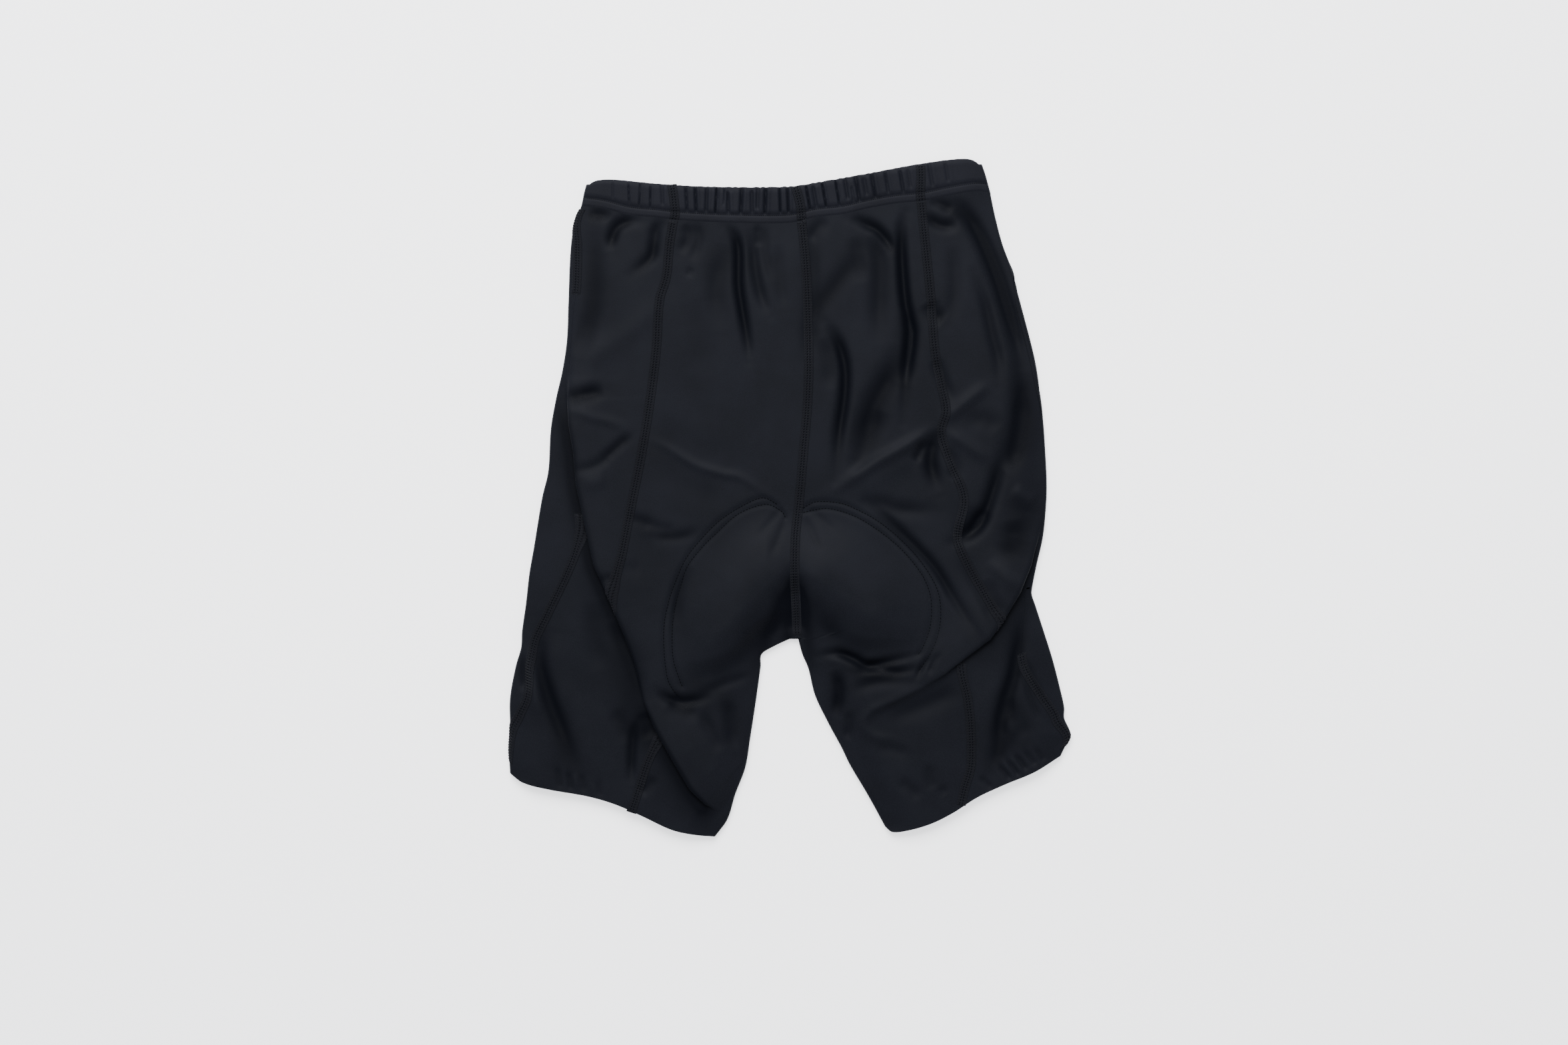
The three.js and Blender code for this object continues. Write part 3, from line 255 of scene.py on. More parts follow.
# Creases of the upper side: name, width, depth (a ridge where negative), places
Crease = tuple[str, float, float, Points]
CREASES: Sequence[Crease] = (
    ("left_side_hollow", 9, 2.6, ((-145, 212), (-146, 150), (-149, 130), (-159, 104))),
    ("left_side_blob", 5, 1.6, ((-151, 211), (-140, 212), (-134, 208))),
    ("left_side_hook", 4.5, 2.8, ((-108, 207), (-120, 207), (-129, 202), (-133, 192), (-132, 184))),
    ("left_side_facet", 9, -0.8, ((-156, 102), (-136, 112), (-110, 132), (-98, 148))),
    ("left_hip_wedge", 6.5, 2.0, ((-168, 74), (-155, 76), (-138, 80))),
    ("left_hip_wedge_upper", 5, 0.8, ((-158, 76), (-148, 79), (-138, 80))),
    ("left_ridge_side", 4, -0.8, ((-166, 69), (-150, 61), (-135, 57), (-119, 51))),
    ("left_ridge_back", 3.5, -1.0, ((-108, 46), (-90, 37), (-70, 24.5), (-50, 18), (-35, 14.5), (-10, -3))),
    ("left_over_ridge", 12, 0.6, ((-118, 64), (-94, 50), (-72, 37), (-50, 30), (-24, 16))),
    ("left_under_ridge", 12, 0.7, ((-104, 30), (-84, 15), (-62, 4), (-44, 2))),
    ("left_hip_strokes", 3.8, 1.6, ((-117, 48), (-125, 41), (-134, 33), (-141, 27))),
    ("left_hip_strokes_low", 4, 1.1, ((-134, 30), (-143, 25), (-157, 19))),
    ("left_hip_light", 6, -0.9, ((-152, 10), (-136, 14))),
    ("left_thigh_dark", 5, 1.1, ((-124, -16), (-112, -17), (-102, -22))),
    ("left_thigh_tuck", 4.5, 1.0, ((-104, -29), (-92, -30), (-80, -29), (-66, -24))),
    ("left_thigh_tuck_upper", 4, 0.7, ((-110, -18), (-96, -22), (-84, -24))),
    ("left_thigh_short", 6, 0.6, ((-127, -52), (-110, -54))),
    ("left_thigh_edge", 4, 1.2, ((-140, -64), (-131, -58))),
    ("waist_left_outer", 4.5, 2.8, ((-92, 208), (-99, 201), (-101, 191), (-104, 179), (-119, 167))),
    ("waist_left_soft", 4.5, 1.6, ((-78, 205), (-76, 194), (-82, 182))),
    ("waist_left_soft_b", 4.5, 1.4, ((-70, 206), (-68, 192), (-74, 176))),
    ("waist_left_strong", 4, 3.9, ((-48, 203), (-41, 196), (-38, 185), (-38, 160), (-35, 140), (-31, 115),
     (-30, 102))),
    ("waist_left_thin", 3, 1.3, ((-24, 204), (-23, 187))),
    ("waist_left_mid", 4.5, 2.6, ((-30, 203), (-27, 186), (-25, 168), (-21, 150), (-15, 136))),
    ("waist_left_third", 4, 1.3, ((-18, 204), (-18, 184), (-12, 160))),
    ("waist_left_wide", 8, 2, ((-46, 190), (-53, 168), (-55, 150), (-50, 124))),
    ("waist_left_plain", 11, 0.8, ((-72, 150), (-64, 120), (-68, 90))),
    ("waist_centre_soft", 5, 1, ((-8, 190), (-7, 165), (-4, 140))),
    ("waist_left_tiny", 3, 0.7, ((-73, 172), (-76, 165))),
    ("waist_right_band", 6.5, 2, ((20, 206), (17, 180), (18, 150), (16, 120), (15, 104))),
    ("waist_right_soft", 5, 1.4, ((28, 209), (20, 200), (14, 192))),
    ("waist_right_strong", 4, 3.4, ((44, 209), (56, 205), (66, 200), (74, 191), (79, 180))),
    ("waist_right_diagonal", 8, 1.4, ((54, 184), (42, 168), (28, 150), (14, 128))),
    ("right_upper_wide", 7.5, 2.8, ((60, 197), (67, 180), (67, 150), (67, 112))),
    ("right_upper_soft", 6, 1.4, ((48, 196), (52, 178), (56, 160))),
    ("right_long", 4.2, 4.4, ((87, 213), (84, 203), (84, 187), (85, 165), (87, 145), (91, 125), (89, 105),
     (87, 88), (85, 56))),
    ("right_long_core", 7, 2, ((86, 140), (91, 122), (89, 100), (86, 84))),
    ("right_middle", 4.6, 4.2, ((27, 131), (34, 121), (39, 110), (42, 94), (41, 74), (38, 55), (36, 36),
     (35, 12))),
    ("right_middle_side", 7, 1.4, ((24, 120), (30, 100), (30, 80))),
    ("right_wide", 9, 3.4, ((82, 116), (75, 92), (64, 72), (56, 50), (50, 30))),
    ("right_wide_low", 8, 1.6, ((70, 66), (62, 46), (46, 16))),
    ("right_ridge", 5, -2.4, ((112, 53), (98, 45), (80, 35), (62, 25), (46, 14), (28, 3))),
    ("right_ridge_below", 9, -1, ((96, 34), (72, 20), (44, 6))),
    ("right_knee", 3.6, 2.4, ((102, 44), (97, 34), (94, 26))),
    ("right_knee_wedge", 6, 3.8, ((112, 52), (107, 38), (106, 24), (112, 3))),
    ("right_knee_side", 5, 1.6, ((118, 38), (124, 24), (122, 12))),
    ("under_right_ridge", 6, 1.8, ((50, -2), (68, -4), (84, -9), (112, -10))),
    ("beside_pad", 4, 3.6, ((58, -3), (75, -18), (95, -37), (110, -54), (124, -77), (144, -108))),
    ("beside_pad_outer", 4.5, 1.8, ((126, -44), (138, -64), (148, -84), (154, -100))),
    ("right_side_top", 4.5, 2.4, ((101, 213), (108, 206), (118, 203), (126, 206))),
    ("right_side_top_b", 4, 1.6, ((104, 222), (114, 219), (122, 213))),
    ("right_side_long", 6.5, 4.6, ((116, 223), (127, 218), (136, 207), (146, 188), (156, 163), (165, 136),
     (171, 108), (173, 82))),
    ("right_side_long_low", 8, 3.4, ((173, 96), (173, 70), (171, 48), (167, 30), (160, 20))),
    ("right_side_short", 4.5, 2.4, ((138, 168), (146, 146), (151, 124), (156, 104), (157, 84))),
    ("right_side_inner", 6, 1.4, ((122, 190), (124, 160), (120, 130))),
    ("right_side_blob", 6.5, 2.4, ((103, 146), (108, 138), (116, 132))),
    ("right_side_low", 5, 2.2, ((108, 104), (114, 90), (122, 70))),
    ("right_facet_upper", 5, -1.8, ((114, 57), (130, 70), (150, 86))),
    ("right_facet_lower", 5, -1.5, ((116, 50), (132, 40), (150, 27))),
    ("right_facet_soft", 7, 1.2, ((130, 56), (146, 58), (156, 50))),
    ("right_hip_edge", 5, 4.2, ((159, 38), (156, 20), (151, 2), (145, -14), (136, -26), (121, -34))),
    ("right_hip_core", 7, 3.0, ((146, -8), (138, -22), (124, -32))),
    ("right_hip_light", 6, -1.4, ((166, 7), (184, -4))),
    ("right_hip_soft", 10, 2, ((166, -16), (168, -34), (160, -48))),
    ("right_hip_bright", 6, -1.4, ((148, -46), (160, -58), (172, -68))),
    ("right_hip_dark", 6, 1.6, ((146, -60), (152, -76), (156, -88))),
    ("pad_centre", 7, 4.6, ((4, -56), (4, -72), (5, -88), (5, -104))),
    ("pad_centre_left", 8, 1.6, ((-4, -66), (-8, -84), (-18, -108))),
    ("pad_centre_right", 9, 1.6, ((12, -72), (24, -92), (40, -108))),
    ("pad_fan_a", 3, 0.6, ((-4, -6), (-14, -18), (-24, -30))),
    ("pad_fan_b", 3, 0.6, ((-2, -14), (-8, -30), (-14, -44))),
    ("pad_fan_c", 3, 0.6, ((12, -6), (24, -16), (34, -26))),
    ("pad_fan_d", 3, 0.6, ((11, -14), (18, -28), (24, -42))),
    ("pad_left_groove", 5, 1.2, ((-74, -50), (-82, -72), (-84, -98))),
    ("pad_low_right", 3.8, 4.2, ((22, -118), (36, -116), (48, -120), (58, -125), (75, -122), (96, -117))),
    ("pad_low_right_b", 3.8, 2.2, ((50, -131), (62, -128), (80, -130), (98, -127))),
    ("pleat_a", 2.4, 1.4, ((105, -118), (99, -127), (94, -136))),
    ("pleat_b", 2.4, 1.2, ((112, -115), (107, -124), (104, -132))),
    ("right_leg_upper", 5, 1.4, ((46, -145), (60, -139), (76, -137), (104, -138))),
    ("right_leg_inner", 4.6, 2.8, ((33, -128), (37, -140), (37, -152), (33, -166))),
    ("right_leg_inner_low", 4, 1.6, ((44, -158), (45, -170), (42, -182))),
    ("right_leg_hook", 4, -1.3, ((128, -124), (112, -136), (94, -145), (76, -153), (62, -159), (56, -166),
     (57, -173), (64, -179), (76, -181), (92, -187))),
    ("right_leg_hook_low", 5, 0.8, ((64, -186), (78, -188), (90, -193))),
    ("right_leg_below", 8, 1.8, ((70, -166), (92, -158), (112, -150), (128, -143))),
    ("right_leg_low_a", 5, 1.2, ((82, -210), (90, -217), (98, -225))),
    ("right_leg_low_b", 4.5, 1.0, ((105, -198), (105, -210), (108, -218))),
    ("right_leg_low_c", 4, 0.8, ((113, -215), (117, -222))),
    ("right_leg_deep", 6, 3.2, ((178, -84), (173, -98), (171, -112), (168, -132), (162, -150), (158, -166),
     (154, -184), (150, -206))),
    ("right_leg_branch", 6, 1.2, ((163, -150), (168, -160), (174, -172), (178, -180))),
    ("right_leg_branch_b", 5, 1.0, ((158, -166), (160, -176), (156, -190), (153, -202))),
    ("right_leg_side", 3.2, 1.6, ((177, -120), (184, -140), (192, -158))),
    ("right_leg_side_b", 3, 1.2, ((174, -134), (181, -152), (188, -168))),
    ("left_leg_wide", 6, 3.0, ((-184, -92), (-186, -112), (-185, -130), (-180, -148), (-173, -166),
     (-166, -184), (-157, -206))),
    ("left_leg_ridge", 7, -1.4, ((-174, -100), (-174, -124), (-168, -148), (-160, -168))),
    ("left_leg_edge", 4, 2.4, ((-201, -114), (-199, -132), (-197, -146))),
    ("left_leg_edge_ridge", 4, -1.2, ((-195, -104), (-193, -128), (-190, -150), (-186, -164))),
    ("left_leg_upper", 7, 2.2, ((-134, -92), (-124, -108), (-114, -132), (-108, -156))),
    ("left_leg_thigh", 8, 1.4, ((-146, -76), (-146, -104), (-140, -130))),
    ("left_leg_inner", 3.6, 3.2, ((-115, -166), (-117, -182), (-118, -198), (-118, -216))),
    ("left_leg_inner_side", 6, 1.4, ((-132, -158), (-125, -170), (-120, -184))),
    ("left_leg_wedge", 5, 1.8, ((-110, -160), (-106, -170), (-105, -182))),
    ("left_leg_low", 4, 1.6, ((-100, -208), (-106, -216), (-112, -222))),
    ("under_left_lobe", 4, 3.0, ((-99, -144), (-92, -149), (-82, -152), (-70, -151), (-56, -147))),
    ("under_left_lobe_b", 6, 1.4, ((-90, -152), (-80, -158), (-66, -162))),
    ("under_left_lobe_long", 4, 1.1, ((-70, -148), (-48, -139), (-28, -132))),
    ("left_leg_soft", 6, 2, ((-46, -150), (-44, -168), (-43, -190))),
    ("left_leg_fan", 5, 1.4, ((-66, -160), (-58, -176), (-50, -190))),
    ("hem_left_a", 2.2, 1.2, ((-174, -200), (-172, -210), (-171, -219))),
    ("hem_left_b", 2.2, 1.4, ((-165, -204), (-164, -212), (-163, -220))),
    ("hem_left_c", 2, 1.1, ((-156, -206), (-154, -214), (-153, -221))),
    ("hem_left_d", 2, 0.9, ((-143, -210), (-142, -218), (-141, -224))),
    ("hem_left_e", 2, -0.6, ((-160, -206), (-159, -218))),
    ("hem_right_a", 2.2, 1.3, ((142, -208), (147, -213), (152, -218))),
    ("hem_right_b", 2.2, 1.6, ((156, -199), (162, -206), (166, -211))),
    ("hem_right_c", 2, 1.6, ((162, -195), (168, -203), (172, -208))),
    ("hem_right_d", 2, 1.5, ((168, -191), (174, -199), (178, -204))),
    ("hem_right_e", 2, 1.2, ((175, -188), (181, -196), (184, -200))),
    ("hem_right_f", 2, 1.0, ((183, -186), (188, -193), (191, -197))),
    ("hem_right_g", 2, -0.7, ((159, -197), (165, -204), (169, -209))),
    ("hem_right_h", 2, -0.7, ((165, -193), (171, -201), (175, -206))),
)
UNDER_CREASES: Sequence[Crease] = (
    ("under_left_long", 9, 1.0, ((-120, 190), (-112, 120), (-128, 40), (-120, -20))),
    ("under_right_long", 8, 0.9, ((96, 196), (104, 120), (92, 60), (110, -10))),
    ("under_left_slant", 7, 0.8, ((-40, 150), (-66, 90), (-70, 30))),
    ("under_right_slant", 7, 0.8, ((50, 160), (62, 90), (40, 20))),
    ("under_left_leg", 8, 0.9, ((-90, -120), (-110, -170), (-104, -220))),
    ("under_right_leg", 8, 0.9, ((90, -110), (112, -160), (120, -210))),
    ("under_left_hip", 7, 0.7, ((-160, -40), (-140, -70), (-90, -80))),
    ("under_right_hip", 7, 0.7, ((160, -20), (130, -56), (70, -60))),
    ("under_middle", 8, 0.7, ((-50, -50), (-10, -64), (44, -52))),
)

# Gathers of the waistband: x at the middle of the height, depth, shares of the height at their two ends
GATHERS: Points = (
    (-132, 0.25, 0.4, 0.9), (-120, 0.4, 0.34, 0.9), (-112, 0.4, 0.3, 1), (-104, 0.5, 0.3, 0.9),
    (-95, 0.4, 0.4, 1), (-77, 0.6, 0.28, 1), (-70, 0.8, 0.28, 0.95), (-62, 0.7, 0.3, 1),
    (-55, 0.9, 0.27, 1), (-49, 0.4, 0.5, 1), (-46, 0.7, 0.28, 0.85), (-36, 0.9, 0.27, 1),
    (-28, 0.6, 0.3, 0.9), (-24, 0.5, 0.4, 1), (-18, 0.9, 0.27, 0.95), (-7, 0.8, 0.3, 1),
    (-1, 0.9, 0.3, 1), (14, 0.9, 0.27, 1), (19, 0.6, 0.3, 0.9), (26, 0.9, 0.27, 1),
    (36, 0.8, 0.28, 1), (43, 0.6, 0.4, 0.95), (47, 0.4, 0.3, 0.7), (51, 0.8, 0.28, 1),
    (57, 0.4, 0.4, 0.9), (63, 0.7, 0.28, 1), (73, 0.5, 0.35, 1), (84, 0.6, 0.3, 0.9),
    (90, 0.3, 0.4, 0.9), (106, 0.4, 0.35, 1), (118, 0.3, 0.4, 0.9),
)


def mix(a: Number, b: Number, t: Number) -> Number:
    """Value between a and b at share t."""
    return a + (b - a) * t


def smooth(t: Number) -> Number:
    """Smooth step from 0 at t = 0 to 1 at t = 1."""
    held = np.clip(t, 0, 1)
    return held * held * (3 - 2 * held)


def bell(t: Number) -> Number:
    """Bell of height 1 and half-width about 0.8."""
    return np.exp(-np.square(t))


class Follow:
    """Smooth curve through table rows, one column as a function of another."""

    def __init__(self, rows: Points) -> None:
        """Sorts the rows and works out the slope at each.

        Args:
            rows: pairs of place and value.
        """
        pairs = np.array(sorted((row[0], row[1]) for row in rows), dtype=float)
        self.places, self.values = pairs[:, 0], pairs[:, 1]
        before = np.maximum(np.arange(len(pairs)) - 1, 0)
        after = np.minimum(np.arange(len(pairs)) + 1, len(pairs) - 1)
        self.slopes = (self.values[after] - self.values[before]) / (self.places[after] - self.places[before])

    def __call__(self, value: Number) -> Number:
        """Reads the curve.

        Args:
            value: place or array of places.

        Returns:
            The curve's value there.
        """
        i = np.clip(np.searchsorted(self.places, value, side="left") - 1, 0, len(self.places) - 2)
        span = self.places[i + 1] - self.places[i]
        t = np.clip((value - self.places[i]) / span, 0, 1)
        start = t * (1 - t) ** 2 * self.slopes[i] * span
        end = t * t * (t - 1) * self.slopes[i + 1] * span
        return mix(self.values[i], self.values[i + 1], smooth(t)) + start + end


def rounded(points: Points, steps: int, closed: bool = False) -> np.ndarray:
    """Catmull-Rom path through a few points.

    Args:
        points: places.
        steps: number of pieces.
        closed: whether the path returns to its start.

    Returns:
        Array of steps + 1 places.
    """
    nodes = np.array([point[:2] for point in points], dtype=float)
    count = len(nodes) if closed else len(nodes) - 1
    u = np.linspace(0, count, steps + 1)
    i = np.minimum(u.astype(int), count - 1)
    t = (u - i)[:, None]
    around = [(i + k) % len(nodes) if closed else np.clip(i + k, 0, len(nodes) - 1) for k in (-1, 0, 1, 2)]
    a, b, c, d = (nodes[place] for place in around)
    bend = 2 * a - 5 * b + 4 * c - d
    twist = 3 * b - a - 3 * c + d
    return 0.5 * (2 * b + (c - a) * t + bend * t**2 + twist * t**3)


class Trail:
    """Path in the plan, with the distance, side and place of points against it."""

    def __init__(self, places: np.ndarray) -> None:
        """Works out the steps and the normals of the path.

        Args:
            places: array of points along the path.
        """
        self.places = places
        self.steps = np.diff(places, axis=0)
        ahead = np.vstack([places[1:], places[-1:]]) - np.vstack([places[:1], places[:-1]])
        self.normals = np.stack([-ahead[:, 1], ahead[:, 0]], axis=1)
        self.normals /= np.linalg.norm(self.normals, axis=1, keepdims=True)

    def against(self, x: np.ndarray, y: np.ndarray) -> tuple[np.ndarray, ...]:
        """Finds the nearest place on the path for each point.

        Args:
            x, y: flat arrays of places.

        Returns:
            Distance, signed distance, normals, piece and share of the piece at the nearest place.
        """
        best = np.full(x.shape, np.inf)
        piece = np.zeros(x.shape, dtype=int)
        share = np.zeros(x.shape)
        for i, ((ax, ay), (dx, dy)) in enumerate(zip(self.places[:-1], self.steps)):
            t = np.clip(((x - ax) * dx + (y - ay) * dy) / (dx * dx + dy * dy), 0, 1)
            gap = np.hypot(x - ax - dx * t, y - ay - dy * t)
            closer = gap < best
            best = np.where(closer, gap, best)
            piece = np.where(closer, i, piece)
            share = np.where(closer, t, share)
        normal = mix(self.normals[piece], self.normals[piece + 1], share[:, None])
        normal /= np.linalg.norm(normal, axis=1, keepdims=True)
        foot = self.places[piece] + self.steps[piece] * share[:, None]
        side = np.sign((x - foot[:, 0]) * normal[:, 0] + (y - foot[:, 1]) * normal[:, 1])
        return best, best * side, normal, piece, share


@dataclass
class Fold:
    """Overlapping fold: a step in the upper layer that leans over."""

    rows: Points
    toward: int
    trail: Trail = field(init=False)

    def __post_init__(self) -> None:
        """Sets the path, with its normals to one side, and the columns along it."""
        self.trail = Trail(np.array([row[:2] for row in self.rows], dtype=float))
        self.trail.normals *= np.sign(self.trail.normals[:, :1]) * self.toward
        self.lifts = np.array([row[2] for row in self.rows], dtype=float)
        self.leans = np.array([row[3] for row in self.rows], dtype=float)
        # Painted shade of the step and of the cloth beside it
        self.painted_shades = np.array([row[4:] for row in self.rows], dtype=float)

    def at(self, x: np.ndarray, y: np.ndarray) -> tuple[np.ndarray, ...]:
        """Reads the form of the fold.

        Args:
            x, y: places.

        Returns:
            Signed distance, normals, lift and lean there.
        """
        _, signed, normal, piece, share = self.trail.against(x, y)
        lift = mix(self.lifts[piece], self.lifts[piece + 1], share)
        lean = mix(self.leans[piece], self.leans[piece + 1], share)
        return signed, normal, lift, lean

    def shade(self, x: np.ndarray, y: np.ndarray) -> np.ndarray:
        """Reads the painted shade of the fold.

        Args:
            x, y: places.

        Returns:
            How dark the step and the cloth below it are painted there.
        """
        _, signed, _, piece, share = self.trail.against(x, y)
        core, beside = mix(self.painted_shades[piece], self.painted_shades[piece + 1], share[:, None]).T
        below = np.where(signed < 0, bell(signed / 17), bell(signed / 1.6))
        return core * bell((signed + 5) / 5) + beside * below


@dataclass
class Half:
    """One half of the garment: its edges and seams."""

    side: int
    outer: Follow
    inner: Follow
    hem: Follow
    back_seam: Follow
    front_seam: Follow
    outer_levels: tuple[float, float, float]
    inner_levels: tuple[float, float, float]

    @staticmethod
    def level(levels: tuple[float, float, float], v: Number) -> np.ndarray:
        """Height of one end of each row.

        Args:
            levels: heights at waistband, crotch and hem.
            v: rows.

        Returns:
            Height at each row.
        """
        upper = mix(levels[0], levels[1], v / CROTCH_ROW)
        lower = mix(levels[1], levels[2], (v - CROTCH_ROW) / (1 - CROTCH_ROW))
        return np.where(v <= CROTCH_ROW, upper, lower)


LEFT = Half(-1, Follow(OUTER_LEFT), Follow(INNER_LEFT), Follow(HEM_LEFT), Follow(BACK_SEAM_LEFT),
            Follow(FRONT_SEAM_LEFT), (217.6, -62, -206), (206.4, -105, -253.6))
RIGHT = Half(1, Follow(OUTER_RIGHT), Follow(INNER_RIGHT), Follow(HEM_RIGHT), Follow(BACK_SEAM_RIGHT),
             Follow(FRONT_SEAM_RIGHT), (227.8, -48, -193), (206.4, -105, -246))


class Garment:
    """The garment's form: heights of its upper layer and the way round each row."""

    def __init__(self) -> None:
        """Sets up the curves, the folds, the outlines, the creases and the strokes of painted shade."""
        self.centre = Follow(CENTRE_SEAM)
        self.band_edge = Follow(BAND_EDGE)
        self.band_top = Follow(BAND_TOP)
        self.folds = (Fold(FOLD_LEFT, 1), Fold(FOLD_RIGHT, -1))
        self.edges = [
            self.edge(LEFT.outer, 240, LEFT.outer_levels[2], 60),
            self.edge(RIGHT.outer, 250, RIGHT.outer_levels[2], 60),
            self.edge(LEFT.inner, *LEFT.inner_levels[1:], 24),
            self.edge(RIGHT.inner, *RIGHT.inner_levels[1:], 24),
        ]
        self.pad = Trail(rounded((*PAD_UPPER, *PAD_LOWER), 104, closed=True))
        self.pad_upper = Trail(rounded(PAD_UPPER, 64))
        self.pad_lower = Trail(rounded((PAD_UPPER[-1], *PAD_LOWER, PAD_UPPER[0]), 40))
        self.pad_ridge = Trail(rounded(PAD_RIDGE, 64))
        self.creases = [(width, depth, Trail(rounded(path, 16))) for _, width, depth, path in CREASES]
        self.under_creases = [
            (width, depth, Trail(rounded(path, 14))) for _, width, depth, path in UNDER_CREASES]
        # Strokes of painted shade, with no relief of their own
        self.painted_shades = [(width, depth, Trail(rounded(path, 12))) for width, depth, path in PAINTED_SHADES]
        self.grooves = [Trail(rounded(path, 60)) for path in PAD_STITCHES]

    @staticmethod
    def edge(curve: Follow, start: float, end: float, steps: int) -> Trail:
        """Path along an edge, from its curve, over a range of y."""
        y = np.linspace(start, end, steps + 1)
        return Trail(np.stack([curve(y), y], axis=1))

    @staticmethod
    def dents(creases: Sequence[tuple[float, float, Trail]], x: np.ndarray, y: np.ndarray,
              shoulder: float = 0.12) -> np.ndarray:
        """Adds up the creases at each place.

        Args:
            creases: width, depth and path of each.
            x, y: places.
            shoulder: rise beside a trough.

        Returns:
            Depth of the creases there.
        """
        total = np.zeros(x.shape)
        for width, depth, trail in creases:
            low, high = trail.places.min(axis=0) - 3 * width, trail.places.max(axis=0) + 3 * width
            near = (x > low[0]) & (x < high[0]) & (y > low[1]) & (y < high[1])
            if not near.any():
                continue
            gap, _, _, piece, share = trail.against(x[near], y[near])
            along = (piece + share) / len(trail.steps)
            taper = mix(0.12, 1, smooth(np.minimum(along, 1 - along) / 0.34))
            u = gap / width
            total[near] += depth * taper * (1 - shoulder * u * u) * bell(u)
        return total

    def pad_rise(self, x: np.ndarray, y: np.ndarray) -> np.ndarray:
        """Lift of the cloth over the seat pad.

        Args:
            x, y: places.

        Returns:
            How far the seat pad lifts the cloth.
        """
        inside = np.zeros(x.shape, dtype=bool)
        for (ax, ay), (dx, dy) in zip(self.pad.places[:-1], self.pad.steps):
            spans = (ay > y) != (ay + dy > y)
            inside ^= spans & (x < ax + dx * (y - ay) / (dy if abs(dy) > 1e-9 else 1e-9))
        full = smooth(self.pad_upper.against(x, y)[0] / PAD_SHOULDER)
        full *= smooth(self.pad_lower.against(x, y)[0] / PAD_LOWER_SHOULDER)
        below = np.maximum(-self.pad_ridge.against(x, y)[1], 0)
        fall = 1 - PAD_FALL * smooth(below / PAD_FALL_REACH)
        deep = smooth((PAD_GROOVE_TOP - y) / PAD_GROOVE_GROWTH)
        groove = PAD_GROOVE * bell((x - self.centre(y)) / PAD_GROOVE_WIDTH) * deep
        return np.where(inside, PAD_RISE * full * fall * (1 - groove), 0)

    def top_height(self, x: np.ndarray, y: np.ndarray) -> np.ndarray:
        """Height of the upper layer.

        Args:
            x, y: places before the folds move them.

        Returns:
            Height of the upper layer's outer face.
        """
        edge = np.min([trail.against(x, y)[0] for trail in self.edges], axis=0)
        height = REST_HEIGHT + PUFF * smooth(edge / PUFF_REACH) + self.pad_rise(x, y)
        for fold in self.folds:
            signed, _, lift, _ = fold.at(x, y)
            step = smooth((signed / (1.1 * FOLD_WIDTH) + 1) / 2)
            beyond = np.maximum(signed - FOLD_WIDTH, 0) / FOLD_DECAY
            remains = FOLD_REMAINS * smooth(1 - (signed - FOLD_WIDTH) / FOLD_FADE)
            height += lift * step * mix(remains, 1, bell(beyond)) * smooth(edge / FOLD_REACH)
        height -= self.dents(self.creases, x, y) * smooth(edge / CREASE_REACH)
        for trail in self.grooves:
            height -= GROOVE_DEPTH * bell(trail.against(x, y)[0] / GROOVE_WIDTH)
        ripple = np.sin(x * 0.043 + 1.3 * np.sin(y * 0.021)) * np.sin(y * 0.037 + 0.9 * np.sin(x * 0.027))
        height += RIPPLE * ripple * smooth(edge / RIPPLE_REACH)
        return np.maximum(height, LOWEST_TOP)

    def under_height(self, x: np.ndarray, y: np.ndarray) -> np.ndarray:
        """Height of the lower layer's outer face, 0 where it rests."""
        edge = np.min([trail.against(x, y)[0] for trail in self.edges], axis=0)
        return np.maximum(self.dents(self.under_creases, x, y, 0) - 0.1, 0) * smooth((edge - 8) / 20)

    def top_points(self, x: np.ndarray, y: np.ndarray) -> np.ndarray:
        """Upper outer face, with the folds leaned over.

        Args:
            x, y: arrays of places.

        Returns:
            Points of the upper outer face, folds included.
        """
        flat_x, flat_y = x.ravel(), y.ravel()
        moved_x, moved_y = flat_x.copy(), flat_y.copy()
        for fold in self.folds:
            signed, normal, _, lean = fold.at(flat_x, flat_y)
            move = -lean * signed * bell(signed / FOLD_WIDTH)
            moved_x += normal[:, 0] * move
            moved_y += normal[:, 1] * move
        points = np.stack([moved_x, moved_y, self.top_height(flat_x, flat_y)], axis=1)
        return points.reshape(*x.shape, 3)

    def row_ends(self, half: Half, v: np.ndarray) -> tuple[np.ndarray, ...]:
        """Ends of each row across one half.

        Args:
            half: left or right.
            v: rows.

        Returns:
            Start x, start y, end x, end y and length of each row.
        """
        outer_y = half.level(half.outer_levels, v)
        inner_y = half.level(half.inner_levels, v)
        torso = self.centre(inner_y) + half.side * CENTRE_GAP / 2
        inner_x = np.where(v > CROTCH_ROW, half.inner(inner_y), torso)
        outer_x = half.outer(outer_y)
        return outer_x, outer_y, inner_x, inner_y, np.hypot(inner_x - outer_x, inner_y - outer_y)

    def plan(self, half: Half, v: np.ndarray, s: np.ndarray) -> tuple[np.ndarray, np.ndarray]:
        """Places of the rows in the plan.

        Args:
            half: left or right.
            v, s: rows and shares across, alike in shape.

        Returns:
            X and y in the plan.
        """
        ax, ay, bx, by, _ = self.row_ends(half, v)
        waist_ends = float(half.outer(half.outer_levels[0])), float(self.centre(half.inner_levels[0]))
        hem_ends = float(half.outer(half.outer_levels[2])), float(half.inner(half.inner_levels[2]))
        waist = self.band_edge(mix(*waist_ends, s)) - mix(*self.band_edge(np.array(waist_ends)), s)
        hem = half.hem(mix(*hem_ends, s)) - mix(*half.hem(np.array(hem_ends)), s)
        return mix(ax, bx, s), mix(ay, by, s) + (1 - v) * waist + v * v * hem

